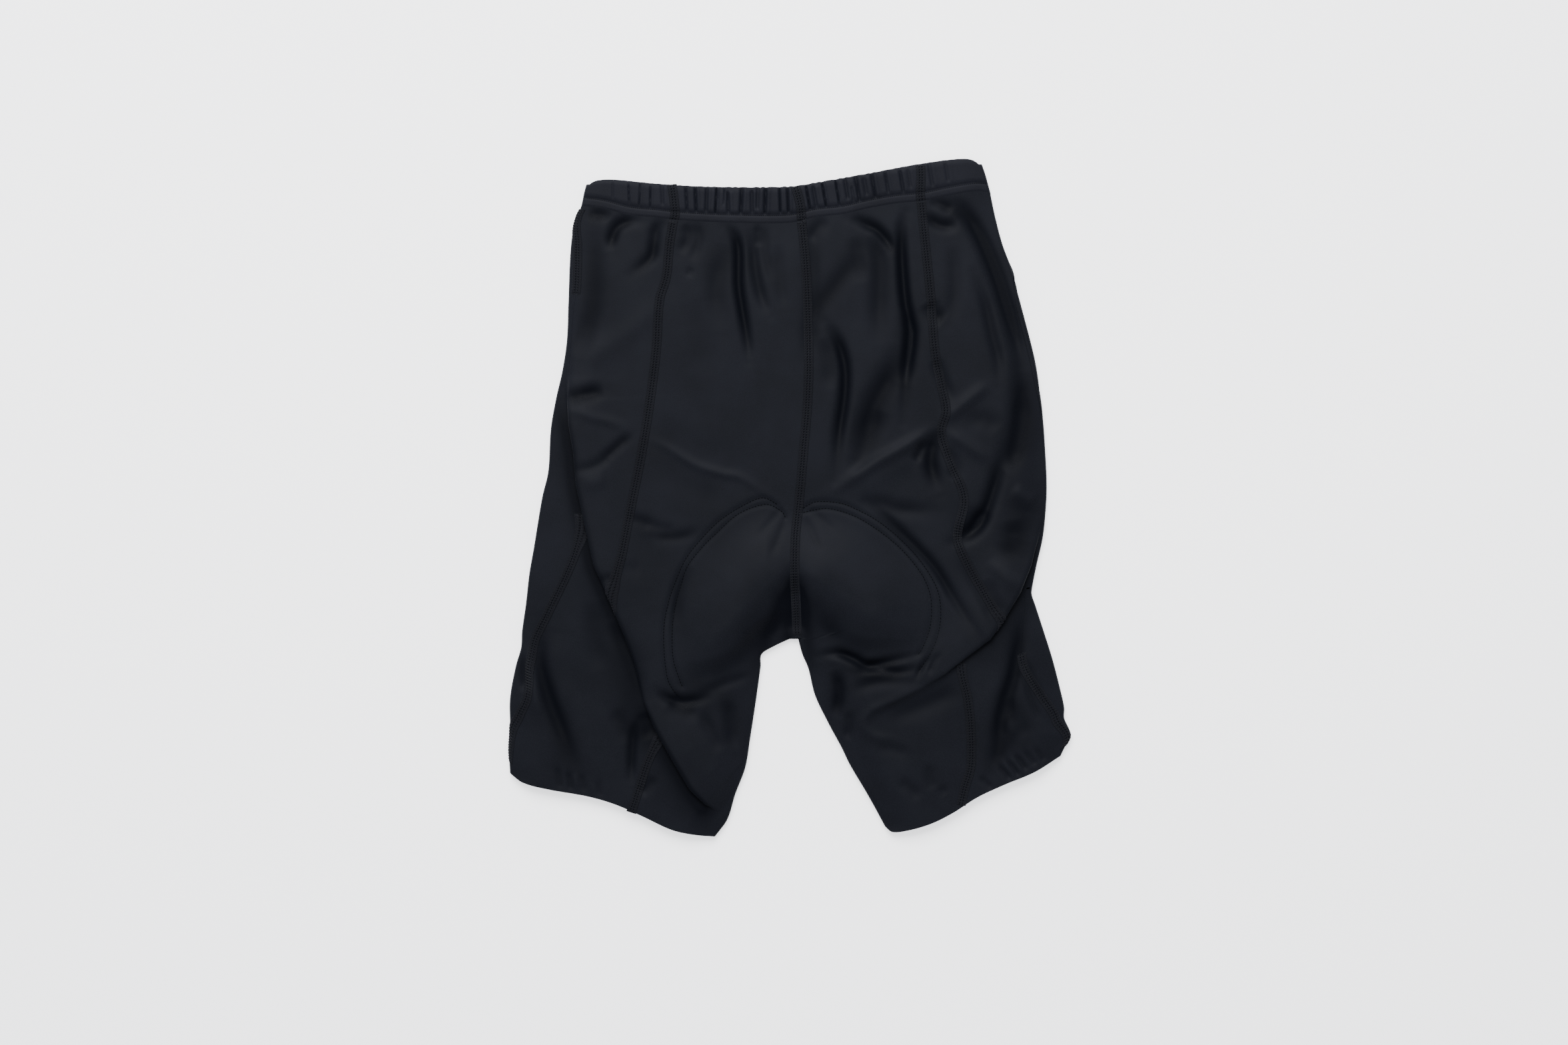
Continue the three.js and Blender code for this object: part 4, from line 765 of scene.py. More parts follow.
    def limits(self, half: Half, v: np.ndarray) -> tuple[np.ndarray, np.ndarray]:
        """Ends of the cloth along each row.

        Args:
            half: left or right.
            v: rows.

        Returns:
            Ways round each row at which the cloth ends.
        """
        length = self.row_ends(half, v)[4]
        below = half.inner_levels[1] - half.level(half.inner_levels, v)
        wrap = mix(1.5, INSEAM_WRAP, smooth(below / INSEAM_GROWTH))
        flat = length - TURN_RADIUS
        leg = v > CROTCH_ROW
        low = np.where(leg, -(TURN_ARC / 2 + flat - TURN_RADIUS - wrap - SEAM_GAP), -(TURN_ARC / 2 + flat))
        high = np.where(leg, TURN_ARC * 1.5 + flat - TURN_RADIUS + wrap, TURN_ARC / 2 + flat)
        return low, high

    def ring(self, half: Half, v: np.ndarray, way: np.ndarray) -> np.ndarray:
        """Outer face of the cloth all the way round each row.

        Args:
            half: left or right.
            v: rows.
            way: ways round each row.

        Returns:
            Points of the outer face.
        """
        rows = np.broadcast_to(v[:, None], way.shape)
        length = np.broadcast_to(self.row_ends(half, v)[4][:, None], way.shape)
        leg = rows > CROTCH_ROW
        inner_turn = length - TURN_RADIUS
        distance = TURN_RADIUS + way - TURN_ARC / 2
        beyond = np.where(leg, distance - inner_turn, -1.0)
        under = way < -TURN_ARC / 2
        turn = np.abs(way) <= TURN_ARC / 2
        round_inner = (beyond > 0) & (beyond <= TURN_ARC)
        wrapped = beyond > TURN_ARC
        angle = np.clip(way / (TURN_ARC / 2), -1, 1) * math.pi / 2
        inner_angle = np.clip(beyond / TURN_ARC, 0, 1) * math.pi
        across = np.select(
            [under, turn, round_inner, wrapped],
            [TURN_RADIUS - way - TURN_ARC / 2, TURN_RADIUS * (1 - np.cos(angle)),
             inner_turn + TURN_RADIUS * np.sin(inner_angle), inner_turn - (beyond - TURN_ARC)],
            distance,
        )
        x, y = self.plan(half, rows, across / length)
        points = self.top_points(x, y)
        crest_v = v[:, None]
        crest = self.top_points(*self.plan(half, crest_v, TURN_RADIUS / length[:, :1]))[:, :, 2]
        inner_crest = self.top_points(*self.plan(half, crest_v, inner_turn[:, :1] / length[:, :1]))[:, :, 2]
        flat = under | wrapped
        low = self.under_height(x.ravel(), y.ravel()).reshape(x.shape)
        sides = flat | turn | round_inner
        points[..., 0] = np.where(sides, x, points[..., 0])
        points[..., 1] = np.where(sides, y, points[..., 1])
        points[..., 2] = np.select(
            [flat, turn, round_inner],
            [low, crest / 2 * (1 + np.sin(angle)), inner_crest / 2 * (1 + np.cos(inner_angle))],
            points[..., 2],
        )
        return points

    def seam_way(self, half: Half, v: np.ndarray) -> np.ndarray:
        """Finds where each row meets the back-side seam.

        Args:
            half: left or right.
            v: rows.

        Returns:
            The way round each row to the back-side seam.
        """
        low, high = np.zeros(v.shape), np.ones(v.shape)
        for _ in range(30):
            middle = (low + high) / 2
            x, y = self.plan(half, v, middle)
            beyond = half.side * (x - half.back_seam(y)) < 0
            high = np.where(beyond, middle, high)
            low = np.where(beyond, low, middle)
        return low * self.row_ends(half, v)[4] - TURN_RADIUS + TURN_ARC / 2

    def spread(self, half: Half, v: np.ndarray, start: np.ndarray, end: np.ndarray, count: int) -> np.ndarray:
        """Spreads columns over a panel, closer together at turns and folds.

        Args:
            half: left or right.
            v: rows.
            start, end: ways at both ends.
            count: columns.

        Returns:
            Ways of the columns, closer together at turns and folds.
        """
        samples = 160
        share = (np.arange(samples) + 0.5) / samples
        way = mix(start[:, None], end[:, None], share[None, :])
        length = self.row_ends(half, v)[4][:, None]
        distance = TURN_RADIUS + way - TURN_ARC / 2
        rows = np.broadcast_to(v[:, None], way.shape)
        x, y = self.plan(half, rows, np.clip(distance / length, 0, 1))
        weight = np.where((way < -10) | ((rows > CROTCH_ROW) & (distance > length)), 0.3, 1.0)
        weight += 2.6 * bell(way / 5) + 2 * bell((length - distance) / 7) * np.where(way > 0, 1, 0.1)
        for fold in self.folds:
            signed, _, lift, _ = fold.at(x.ravel(), y.ravel())
            near = bell(signed / 8) * np.minimum(lift, 3) / 3
            weight += 1.9 * near.reshape(x.shape) * (way > 0)
        total = np.cumsum(weight, axis=1)
        total = np.hstack([np.zeros((len(v), 1)), total]) / total[:, -1:]
        marks = np.linspace(0, 1, count + 1)
        grid = np.linspace(0, 1, samples + 1)
        shares = np.array([np.interp(marks, line, grid) for line in total])
        return mix(start[:, None], end[:, None], shares)

    @staticmethod
    def rows(half: Half, count: int) -> np.ndarray:
        """Spreads rows down one half, closer together at the crotch.

        Args:
            half: left or right.
            count: rows.

        Returns:
            Rows from the waistband to the hem.
        """
        v = np.linspace(0, 1, 1200)
        lower_fold = 0.7 * bell((v - 0.8) / 0.08) if half.side > 0 else 0
        weight = 1 + lower_fold + 0.8 * bell((v - CROTCH_ROW - 0.015) / 0.03)
        total = np.cumsum(weight)
        rows = np.interp(np.linspace(0, 1, count + 1), (total - total[0]) / (total[-1] - total[0]), v)
        rows[np.abs(rows - CROTCH_ROW).argmin()] = CROTCH_ROW
        return rows


FORM = Garment()


def make_mesh(name: str, points: np.ndarray, faces: np.ndarray | list) -> bpy.types.Object:
    """New object from points in millimetres.

    Args:
        name: its name.
        points: corner places.
        faces: corner numbers of each face.

    Returns:
        The object, at the origin.
    """
    mesh = bpy.data.meshes.new(name)
    corner_lists = faces if isinstance(faces, list) else faces.tolist()
    mesh.from_pydata((points.reshape(-1, 3) * MM).tolist(), [], corner_lists)
    mesh.validate()
    piece = bpy.data.objects.new(name, mesh)
    bpy.context.scene.collection.objects.link(piece)
    return piece


def grid_faces(rows: int, columns: int, flip: bool, ring: bool = False) -> np.ndarray:
    """Faces of a grid of points.

    Args:
        rows, columns: size of the grid.
        flip: turn the faces over.
        ring: join the last column to the first.

    Returns:
        Faces of a grid of points.
    """
    row, column = np.meshgrid(np.arange(rows - 1), np.arange(columns if ring else columns - 1), indexing="ij")
    after = (column + 1) % columns
    near, far = row * columns, (row + 1) * columns
    quads = [near + column, far + column, far + after, near + after]
    faces = np.stack([corner.ravel() for corner in quads], axis=1)
    return faces[:, ::-1] if flip else faces


def select_only(piece: bpy.types.Object) -> None:
    """Leaves one object selected and active.

    Args:
        piece: the one object to leave selected and active.
    """
    bpy.ops.object.select_all(action="DESELECT")
    piece.select_set(True)
    bpy.context.view_layer.objects.active = piece


def shade(piece: bpy.types.Object, angle: float = 60) -> None:
    """Shades a piece smooth, but for edges sharper than an angle in degrees."""
    select_only(piece)
    bpy.ops.object.shade_smooth_by_angle(angle=math.radians(angle))


def thicken(piece: bpy.types.Object, thickness: float) -> None:
    """Gives a sheet its wall.

    Args:
        piece: open sheet.
        thickness: wall that it gets on its inner side, in millimetres.
    """
    select_only(piece)
    solid = piece.modifiers.new("wall", "SOLIDIFY")
    solid.thickness = thickness * MM
    solid.offset = -1
    bpy.ops.object.modifier_apply(modifier=solid.name)


def corners(piece: bpy.types.Object) -> np.ndarray:
    """Places of a piece's corners, in millimetres, one column for each axis."""
    return (np.array([corner.co for corner in piece.data.vertices]) / MM).T


def write_painted_shade(piece: bpy.types.Object, values: np.ndarray) -> None:
    """Writes on each corner of a piece how dark its painted shade is, from 0 to 1."""
    layer = piece.data.attributes.new("painted_shade", "FLOAT", "POINT")
    layer.data.foreach_set("value", values.astype(np.float32).ravel())


def paint_panel_shade(piece: bpy.types.Object) -> None:
    """Paints shade into the creases, the shade strokes, the folds and the stitched grooves of a panel.

    Args:
        piece: cloth that gets a value for how dark each of its corners is painted.
    """
    x, y, height = corners(piece)
    # Painted shade: crease depth, shade strokes, fold shade and stitched grooves all darken the cloth's
    # colour
    depth = FORM.dents(FORM.creases, x, y)
    depth += FORM.dents(FORM.painted_shades, x, y, 0)
    for fold in FORM.folds:
        depth += fold.shade(x, y)
    for trail in FORM.grooves:
        depth += 1.1 * bell(trail.against(x, y)[0] / 1.3)
    write_painted_shade(piece, np.where(height > PAINTED_SHADE_LOWEST, np.clip(depth / PAINTED_SHADE_FULL, 0, 1), 0))


def settle(piece: bpy.types.Object, material: bpy.types.Material, slot: str) -> bpy.types.Object:
    """Dresses a finished piece and ties it to the garment.

    Args:
        piece: finished object.
        material: its finish.
        slot: the record's material slot; not used.

    Returns:
        The piece, riding on the garment.
    """
    piece.data.materials.clear()
    piece.data.materials.append(material)
    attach(piece, ROOT)
    return piece


class Value:
    """A socket of a node tree, with arithmetic."""

    def __init__(self, maker: "Maker", socket: bpy.types.NodeSocket) -> None:
        """Keeps a socket and the maker of its tree."""
        self.maker = maker
        self.socket = socket

    def math(self, operation: str, *others: "Value | float") -> "Value":
        """Result of a Math node on this value and others."""
        return self.maker.node("ShaderNodeMath", (self, *others), operation=operation)

    def __add__(self, other: "Value | float") -> "Value":
        """Sum of two values."""
        return self.math("ADD", other)

    def __mul__(self, other: "Value | float") -> "Value":
        """Product of two values."""
        return self.math("MULTIPLY", other)

    __radd__ = __add__
    __rmul__ = __mul__


class Maker:
    """Builds the nodes of one material."""

    def __init__(self, name: str) -> None:
        """Starts a material.

        Args:
            name: the material's name.
        """
        self.material = bpy.data.materials.new(name)
        self.material.use_nodes = True
        self.tree = self.material.node_tree
        self.shader = self.tree.nodes["Principled BSDF"]

    def node(self, kind: str, inputs: "Sequence | dict" = (), output: str | int = 0,
             **settings: object) -> Value:
        """Adds a node, with its settings first.

        Args:
            kind: node type.
            inputs: values or links by place or name.
            output: which output.
            settings: its fields.

        Returns:
            The chosen output.
        """
        made = self.tree.nodes.new(kind)
        for key, value in settings.items():
            setattr(made, key, value)
        pairs = inputs.items() if isinstance(inputs, dict) else enumerate(inputs)
        for key, value in pairs:
            if isinstance(value, Value):
                self.tree.links.new(value.socket, made.inputs[key])
            else:
                made.inputs[key].default_value = value
        return Value(self, made.outputs[output])

    def colours(self, factor: Value, low: Sequence[float], high: Sequence[float]) -> Value:
        """Colour between two, by a factor from 0 to 1."""
        named = {"Factor": factor, 6: (*low, 1), 7: (*high, 1)}
        return self.node("ShaderNodeMix", named, 2, data_type="RGBA")

    def noise(self, place: Value, scale: float, detail: float, roughness: float) -> Value:
        """Value of a noise texture."""
        named = {"Vector": place, "Scale": scale, "Detail": detail, "Roughness": roughness}
        return self.node("ShaderNodeTexNoise", named)

    def feed(self, name: str, value: "Value | float | Sequence[float]") -> None:
        """Sets or links one of the shader's inputs.

        Args:
            name: the shader's input.
            value: constant or link for it.
        """
        if isinstance(value, Value):
            self.tree.links.new(value.socket, self.shader.inputs[name])
        else:
            self.shader.inputs[name].default_value = value


class Weave(Enum):
    """Surface structure of a finish."""

    KNIT = "knit"
    THREAD = "thread"
    FOAM = "foam"


@dataclass(frozen=True)
class Finish:
    """Finish of one kind of cloth or thread."""

    name: str
    weave: Weave
    dark: tuple[float, float, float]
    light: tuple[float, float, float]
    roughness: tuple[float, float]
    sheen: float
    specular: float
    bump: float
    cloud_scale: float = 26.0
    grain_scale: float = 1500.0
    wale_scale: float = 620.0
    wale_share: float = 0.12
    relief: float = 0.0003
    sheen_roughness: float = 0.5
    sheen_tint: tuple[float, float, float, float] = (0.75, 0.8, 1.0, 1.0)

    def material(self) -> bpy.types.Material:
        """Builds the material.

        Returns:
            The material.
        """
        make = Maker(self.name)
        place = make.node("ShaderNodeTexCoord", output="Object")
        cloud = make.noise(place, self.cloud_scale, 3.0, 0.55)
        grain = make.noise(place, self.grain_scale, 2.0, 0.6)
        blend = {0: cloud * 0.45 + grain * 0.55, 1: 0.38, 2: 0.62, 3: 0.0, 4: 1.0}
        tone = make.node("ShaderNodeMapRange", blend)
        colour = make.colours(tone, self.dark, self.light)
        # Painted shade: a value on each corner darkens the base colour toward a deeper copy of it, in
        # creases, folds, gathers, stitched grooves and seam holes; the foam has none
        if self.weave is not Weave.FOAM:
            painted_shade = make.node("ShaderNodeAttribute", output="Fac", attribute_name="painted_shade")
            deep = [part * share for part, share in zip(self.dark, PAINTED_SHADE_SHARES)]
            named = {"Factor": painted_shade, 6: colour, 7: (*deep, 1)}
            colour = make.node("ShaderNodeMix", named, 2, data_type="RGBA")
        make.feed("Base Color", colour)
        smoothest, roughest = self.roughness
        rough = make.node("ShaderNodeMapRange", {0: grain, 1: 0.35, 2: 0.65, 3: smoothest, 4: roughest})
        make.feed("Roughness", rough)
        height = grain
        if self.weave is Weave.KNIT:
            named = {"Vector": place, "Scale": self.wale_scale, "Distortion": 0.6, "Detail": 1.0,
                     "Detail Scale": 2.0}
            wales = make.node("ShaderNodeTexWave", named, "Fac", bands_direction="X")
            height = grain * (1 - self.wale_share) + wales * self.wale_share
        bump = make.node("ShaderNodeBump", {"Strength": self.bump, "Distance": self.relief, "Height": height})
        make.feed("Normal", bump)
        make.feed("Specular IOR Level", self.specular)
        make.feed("Sheen Weight", self.sheen)
        make.feed("Sheen Roughness", self.sheen_roughness)
        make.feed("Sheen Tint", self.sheen_tint)
        return make.material


CLOTH_FINISH = Finish(
    "stretch_knit", Weave.KNIT, (0.0025, 0.0029, 0.0045), (0.0042, 0.0047, 0.0070),
    roughness=(0.56, 0.66), sheen=0.014, specular=0.05, bump=0.22)
BAND_FINISH = Finish(
    "band_knit", Weave.KNIT, (0.0030, 0.0033, 0.0052), (0.0049, 0.0053, 0.0081),
    roughness=(0.56, 0.66), sheen=0.014, specular=0.052, bump=0.22)
SEAM_FINISH = Finish(
    "flatlock_base", Weave.THREAD, (0.0026, 0.0028, 0.0042), (0.0042, 0.0045, 0.0064),
    roughness=(0.6, 0.74), sheen=0.014, specular=0.05, bump=0.4)
THREAD_FINISH = Finish(
    "thread", Weave.THREAD, (0.0034, 0.0036, 0.0050), (0.0056, 0.0060, 0.0080),
    roughness=(0.5, 0.66), sheen=0.02, specular=0.07, bump=0.4)
# Seat pad thread: dark thread, made darker still with painted shade of its needle holes and their shadow
STITCH_FINISH = Finish(
    "dark_stitches", Weave.THREAD, (0.0009, 0.0010, 0.0015), (0.0016, 0.0018, 0.0026),
    roughness=(0.7, 0.85), sheen=0.008, specular=0.025, bump=0.4)
BAND_STITCH_FINISH = Finish(
    "band_stitches", Weave.THREAD, (0.0014, 0.0015, 0.0023), (0.0024, 0.0026, 0.0038),
    roughness=(0.65, 0.8), sheen=0.01, specular=0.03, bump=0.4)
PAD_FINISH = Finish(
    "pad_foam", Weave.FOAM, (0.012, 0.012, 0.014), (0.020, 0.020, 0.023),
    roughness=(0.8, 0.95), sheen=0.05, specular=0.1, bump=0.6)


@dataclass
class Panels:
    """The six panels: a front, a side and a back on each half."""

    rows: int = 310
    front: int = 50
    side: int = 54
    back: int = 94
    under_band: float = 0.8
    made: dict[str, bpy.types.Object] = field(default_factory=dict)

    def build(self, material: bpy.types.Material) -> None:
        """Builds both halves."""
        for name, half in (("left", LEFT), ("right", RIGHT)):
            self.build_half(name, half, material)

    def build_half(self, name: str, half: Half, material: bpy.types.Material) -> None:
        """Builds the three panels of one half.

        Args:
            name: left or right.
            half: its edges.
            material: the cloth.
        """
        v = FORM.rows(half, self.rows)
        low, high = FORM.limits(half, v)
        front = half.front_seam(half.level(half.outer_levels, v)) - TURN_RADIUS + TURN_ARC / 2
        back = FORM.seam_way(half, v)
        gap = SEAM_GAP / 2
        parts = {
            "front": FORM.spread(half, v, low, front - gap, self.front),
            "side": FORM.spread(half, v, front + gap, back - gap, self.side),
            "back": FORM.spread(half, v, back + gap, high, self.back),
        }
        for part, ways in parts.items():
            points = FORM.ring(half, v, ways)
            points[0, :, 1] += self.under_band
            piece = make_mesh(f"{part}_{name}_cloth", points, grid_faces(*ways.shape, half.side > 0))
            thicken(piece, CLOTH)
            paint_panel_shade(piece)
            shade(piece)
            settle(piece, material, "cloth")
            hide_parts(f"{part}_{name}")
            self.made[f"{part}_{name}"] = piece


@dataclass
class Waistband:
    """Casing turned over the elastic, as one flat gathered ring."""

    columns: int = 460
    under_columns: int = 60
    turn_columns: int = 10
    levels: int = 34
    inner_levels: int = 8
    piece: bpy.types.Object | None = None

    def ends(self, share: np.ndarray) -> tuple[np.ndarray, np.ndarray]:
        """Ends of the band.

        Args:
            share: shares of the band's height.

        Returns:
            X of its left and right ends.
        """
        left = mix(float(LEFT.outer(LEFT.outer_levels[0])), BAND_TOP[0][0], share)
        right = mix(float(RIGHT.outer(RIGHT.outer_levels[0])), BAND_TOP[-1][0], share)
        return left, right

    def heights(self, x: np.ndarray, share: np.ndarray) -> tuple[np.ndarray, ...]:
        """Form of the band's upper face.

        Args:
            x, share: places across and up the band.

        Returns:
            Y and height of its upper face there, and how deep in a gather it lies.
        """
        left, right = self.ends(share)
        across = (x - left) / (right - left)
        low = FORM.band_edge(mix(*self.ends(0.0), across)) + 0.2
        high = FORM.band_top(mix(BAND_TOP[0][0], BAND_TOP[-1][0], across))
        turned = np.clip(1 - np.minimum(x - left, right - x) / BAND_CORNER, 0, 1)
        corner = BAND_CORNER * 0.8 * (1 - np.sqrt(1 - turned**2))
        scallop = 0.35 * np.sin(x * 0.9 + 1.7 * np.sin(x * 0.31)) * bell((x - 5) / 95)
        y = mix(low, high + scallop * 0.6 - corner * smooth(share * 1.6 - 0.6), share)
        up = share * (high - low)
        dent = np.zeros(np.broadcast(x, share).shape)
        for middle, depth, start, end in GATHERS:
            lean = (share - 0.6) * (-4.5 if middle > 5 else 1.5 * math.sin(middle))
            wide = 0.95 + 0.3 * math.sin(middle * 3.1)
            reach = smooth((share - start) / 0.12 + 0.5) * smooth((end - share) / 0.1 + 0.5)
            u = (x - middle - lean) / wide
            trough = 1.7 * bell(u) - 0.55 * bell((u - 2.1) / 1.2) - 0.35 * bell((u + 2.1) / 1.2)
            dent = dent + depth * trough * reach
        stitched = 0.45 * bell((up - BAND_FLAT) / 0.9) + 0.35 * bell((up - 0.3) / 0.9)
        plump = 0.55 * smooth((up - BAND_FLAT) / 4) * smooth((1 - share) / 0.16)
        top_edge = 1.1 * (1 - smooth((1 - share) / 0.06)) ** 2
        edge = np.minimum(x - left, right - x)
        rise = 0.9 * smooth(edge / 20)
        height = BAND_HEIGHT + rise - 0.4 + plump - stitched - dent * smooth(edge / 12) - top_edge
        return y, height, dent

    def build(self, material: bpy.types.Material) -> None:
        """Builds the ring, level by level, outside and then inside.

        Args:
            material: the band's cloth.
        """
        share = np.concatenate([np.linspace(0, 1, self.levels), np.linspace(1, 0, self.inner_levels)])
        outside = np.arange(len(share)) < self.levels
        radius = BAND_HEIGHT / 2
        rings = []
        for level, out in zip(share, outside):
            left, right = self.ends(float(level))
            top_x = np.linspace(left + radius, right - radius, self.columns)
            top_y, top_z, _ = self.heights(top_x, np.full(self.columns, level))
            inset = 0.0 if out else BAND_CLOTH
            if not out:
                top_z = np.full(self.columns, BAND_HEIGHT - BAND_CLOTH)
            top = np.stack([top_x, top_y, top_z], axis=1)
            angle = np.linspace(0, math.pi, self.turn_columns + 2)[1:-1]
            round_radius = (radius - inset) * np.sin(angle)
            right_z = mix(top_z[-1], inset, (1 - np.cos(angle)) / 2)
            left_z = mix(top_z[0], inset, (1 - np.cos(angle)) / 2)
            level_y = np.ones(angle.shape)
            right_end = np.stack([top_x[-1] + round_radius, level_y * top_y[-1], right_z], axis=1)
            left_end = np.stack([top_x[0] - round_radius, level_y * top_y[0], left_z], axis=1)[::-1]
            low_x = np.linspace(right - radius, left + radius, self.under_columns)
            low_y = self.heights(low_x, np.full(self.under_columns, level))[0]
            under = np.stack([low_x, low_y, np.full(low_x.shape, inset)], axis=1)
            rings.append(np.vstack([top, right_end, under, left_end]))
        points = np.array(rings)
        count, around = points.shape[:2]
        faces = grid_faces(count, around, False, ring=True)
        first = np.arange(around)
        after = (first + 1) % around
        last = (count - 1) * around
        closing = np.stack([last + first, first, after, last + after], axis=1)
        self.piece = make_mesh("waistband_cloth", points, np.vstack([faces, closing])[:, ::-1])
        self.paint_gather_shade()
        shade(self.piece, 50)
        settle(self.piece, material, "band")
        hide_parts("waistband")

    def paint_gather_shade(self) -> None:
        """Paints shade into the gathers: gives each corner of the band a value for how dark it is painted, by
        how deep in a gather it lies.
        """
        x, y, height = corners(self.piece)
        low, high = FORM.band_edge(x), FORM.band_top(x)
        dent = self.heights(x, np.clip((y - low) / (high - low), 0, 1))[2]
        write_painted_shade(self.piece, np.where(height > BAND_CLOTH + 1, np.clip(dent / GATHER_SHADE_FULL, 0, 1), 0))


@dataclass
class SeatPad:
    """Padding between the layers, under the back panels."""

    spokes: int = 120
    rings: int = 26
    clearance: float = 2.0
    floor: float = 1.6
    middle: tuple[float, float] = (5.0, -62.0)
    piece: bpy.types.Object | None = None

    def build(self, material: bpy.types.Material) -> None:
        """Builds the crowned pad from rings round its middle.

        Args:
            material: the padding.
        """
        angles = np.linspace(0, 2 * math.pi, self.spokes, endpoint=False)
        reach = np.array([self.reach(FORM.pad, angle) for angle in angles])
        share = np.linspace(0.02, 1, self.rings) ** 0.8
        x = self.middle[0] + np.cos(angles)[None, :] * reach[None, :] * share[:, None]
        y = self.middle[1] + np.sin(angles)[None, :] * reach[None, :] * share[:, None]
        lowest_top = self.floor + 1
        top = FORM.top_height(x.ravel(), y.ravel()).reshape(x.shape) - CLOTH - self.clearance
        rim = smooth((1 - share) / 0.06)[:, None]
        middle_height = (np.maximum(top, lowest_top) + self.floor) / 2
        upper = mix(middle_height, np.maximum(top, lowest_top), np.sqrt(rim))
        lower = mix(middle_height, self.floor, np.sqrt(rim))
        upper_rings = np.stack([x, y, upper], axis=2)
        lower_rings = np.stack([x, y, lower], axis=2)[-2::-1]
        points = np.concatenate([upper_rings, lower_rings])
        faces = grid_faces(len(points), self.spokes, False, ring=True).tolist()
        faces.append(list(range(self.spokes)))
        last = (len(points) - 1) * self.spokes
        faces.append([last + i for i in range(self.spokes)][::-1])
        self.piece = make_mesh("seat_pad_foam", points, faces)
        select_only(self.piece)
        bpy.ops.object.mode_set(mode="EDIT")
        bpy.ops.mesh.select_all(action="SELECT")
        bpy.ops.mesh.normals_make_consistent(inside=False)
        bpy.ops.object.mode_set(mode="OBJECT")
        shade(self.piece)
        settle(self.piece, material, "pad")
        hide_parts("seat_pad")

    def reach(self, trail: Trail, angle: float) -> float:
        """Distance from the middle to the outline.

        Args:
            trail: the pad's outline.
            angle: direction.

        Returns:
            Distance from the middle to the outline.
        """
        ray = np.array([math.cos(angle), math.sin(angle)])
        start = trail.places[:-1] - np.array(self.middle)
        cross = ray[0] * trail.steps[:, 1] - ray[1] * trail.steps[:, 0]
        share = (start[:, 0] * ray[1] - start[:, 1] * ray[0]) / cross
        reach = (start[:, 0] * trail.steps[:, 1] - start[:, 1] * trail.steps[:, 0]) / cross
        return float(reach[(share >= -0.001) & (share <= 1.001) & (reach > 0)].min())


def spindle(sides: int = 4) -> tuple[np.ndarray, list[list[int]]]:
    """Shape of one stitch, along its first axis and of unit size.

    Args:
        sides: sides of the thread.

    Returns:
        Points and faces of a unit stitch along its first axis.
    """
    stations = ((-0.5, 0.25), (-0.3, 0.9), (0.3, 0.9), (0.5, 0.25))
    angles = [2 * math.pi * i / sides for i in range(sides)]
    points = [
        (along, radius * math.cos(angle), radius * math.sin(angle))
        for along, radius in stations for angle in angles
    ]
    faces = [
        [r * sides + i, r * sides + (i + 1) % sides, (r + 1) * sides + (i + 1) % sides, (r + 1) * sides + i]
        for r in range(len(stations) - 1) for i in range(sides)
    ]
    faces.append(list(range(sides))[::-1])
    faces.append([(len(stations) - 1) * sides + i for i in range(sides)])
    return np.array(points), faces


class Stitcher:
    """Collects single stitches and joins them into one piece."""

    def __init__(self) -> None:
        """Starts with no stitches."""
        self.points: list[np.ndarray] = []
        self.faces: list[list[int]] = []
        self.shape, self.shape_faces = spindle()
        self.count = 0

    def add(self, start: np.ndarray, end: np.ndarray, up: np.ndarray, radius: float) -> None:
        """Adds one stitch.

        Args:
            start, end: ends of the stitch.
            up: the cloth's normal.
            radius: half its thickness.
        """
        along = end - start
        length = float(np.linalg.norm(along))
        if length < 1e-6:
            return
        axis = along / length
        across = np.cross(up, axis)
        across /= max(float(np.linalg.norm(across)), 1e-9)
        above = np.cross(axis, across)
        middle = (start + end) / 2
        placed = middle + np.outer(self.shape[:, 0] * length, axis)
        placed = placed + np.outer(self.shape[:, 1] * radius, across)
        placed = placed + np.outer(self.shape[:, 2] * radius, above)
        self.points.append(placed)
        self.faces.extend([[corner + self.count for corner in face] for face in self.shape_faces])
        self.count += len(placed)

    def piece(self, name: str, material: bpy.types.Material, slot: str) -> bpy.types.Object:
        """Joins the stitches into one piece.

        Args:
            name: of the new piece.
            material: its thread.
            slot: the record's slot.

        Returns:
            The piece.
        """
        made = make_mesh(name, np.vstack(self.points), self.faces)
        shade(made, 80)
        return settle(made, material, slot)


def upper_face(x: np.ndarray, y: np.ndarray) -> np.ndarray:
    """Upper outer face of the panels, and of the band above its edge.

    Args:
        x, y: places.

    Returns:
        Points of the upper outer face of the panels, or of the band above its edge.
    """
    points = FORM.top_points(x, y)
    low = FORM.band_edge(x)
    high = FORM.band_top(x)
    share = np.clip((y - low) / (high - low), 0, 1)
    height = Waistband().heights(x, share)[1]
    above = y > low
    points[..., 2] = np.where(above, height, points[..., 2])
    points[..., 0] = np.where(above, x, points[..., 0])
    points[..., 1] = np.where(above, y, points[..., 1])
    return points


def resample(path: np.ndarray, pitch: float) -> np.ndarray:
    """Spreads places evenly along a path.

    Args:
        path: places.
        pitch: distance wanted.

    Returns:
        Places that far apart along the path.
    """
    gaps = np.linalg.norm(np.diff(path, axis=0), axis=1)
    total = np.concatenate([[0], np.cumsum(gaps)])
    marks = np.linspace(0, total[-1], max(int(total[-1] / pitch), 2) + 1)
    return np.stack([np.interp(marks, total, path[:, k]) for k in range(path.shape[1])], axis=1)


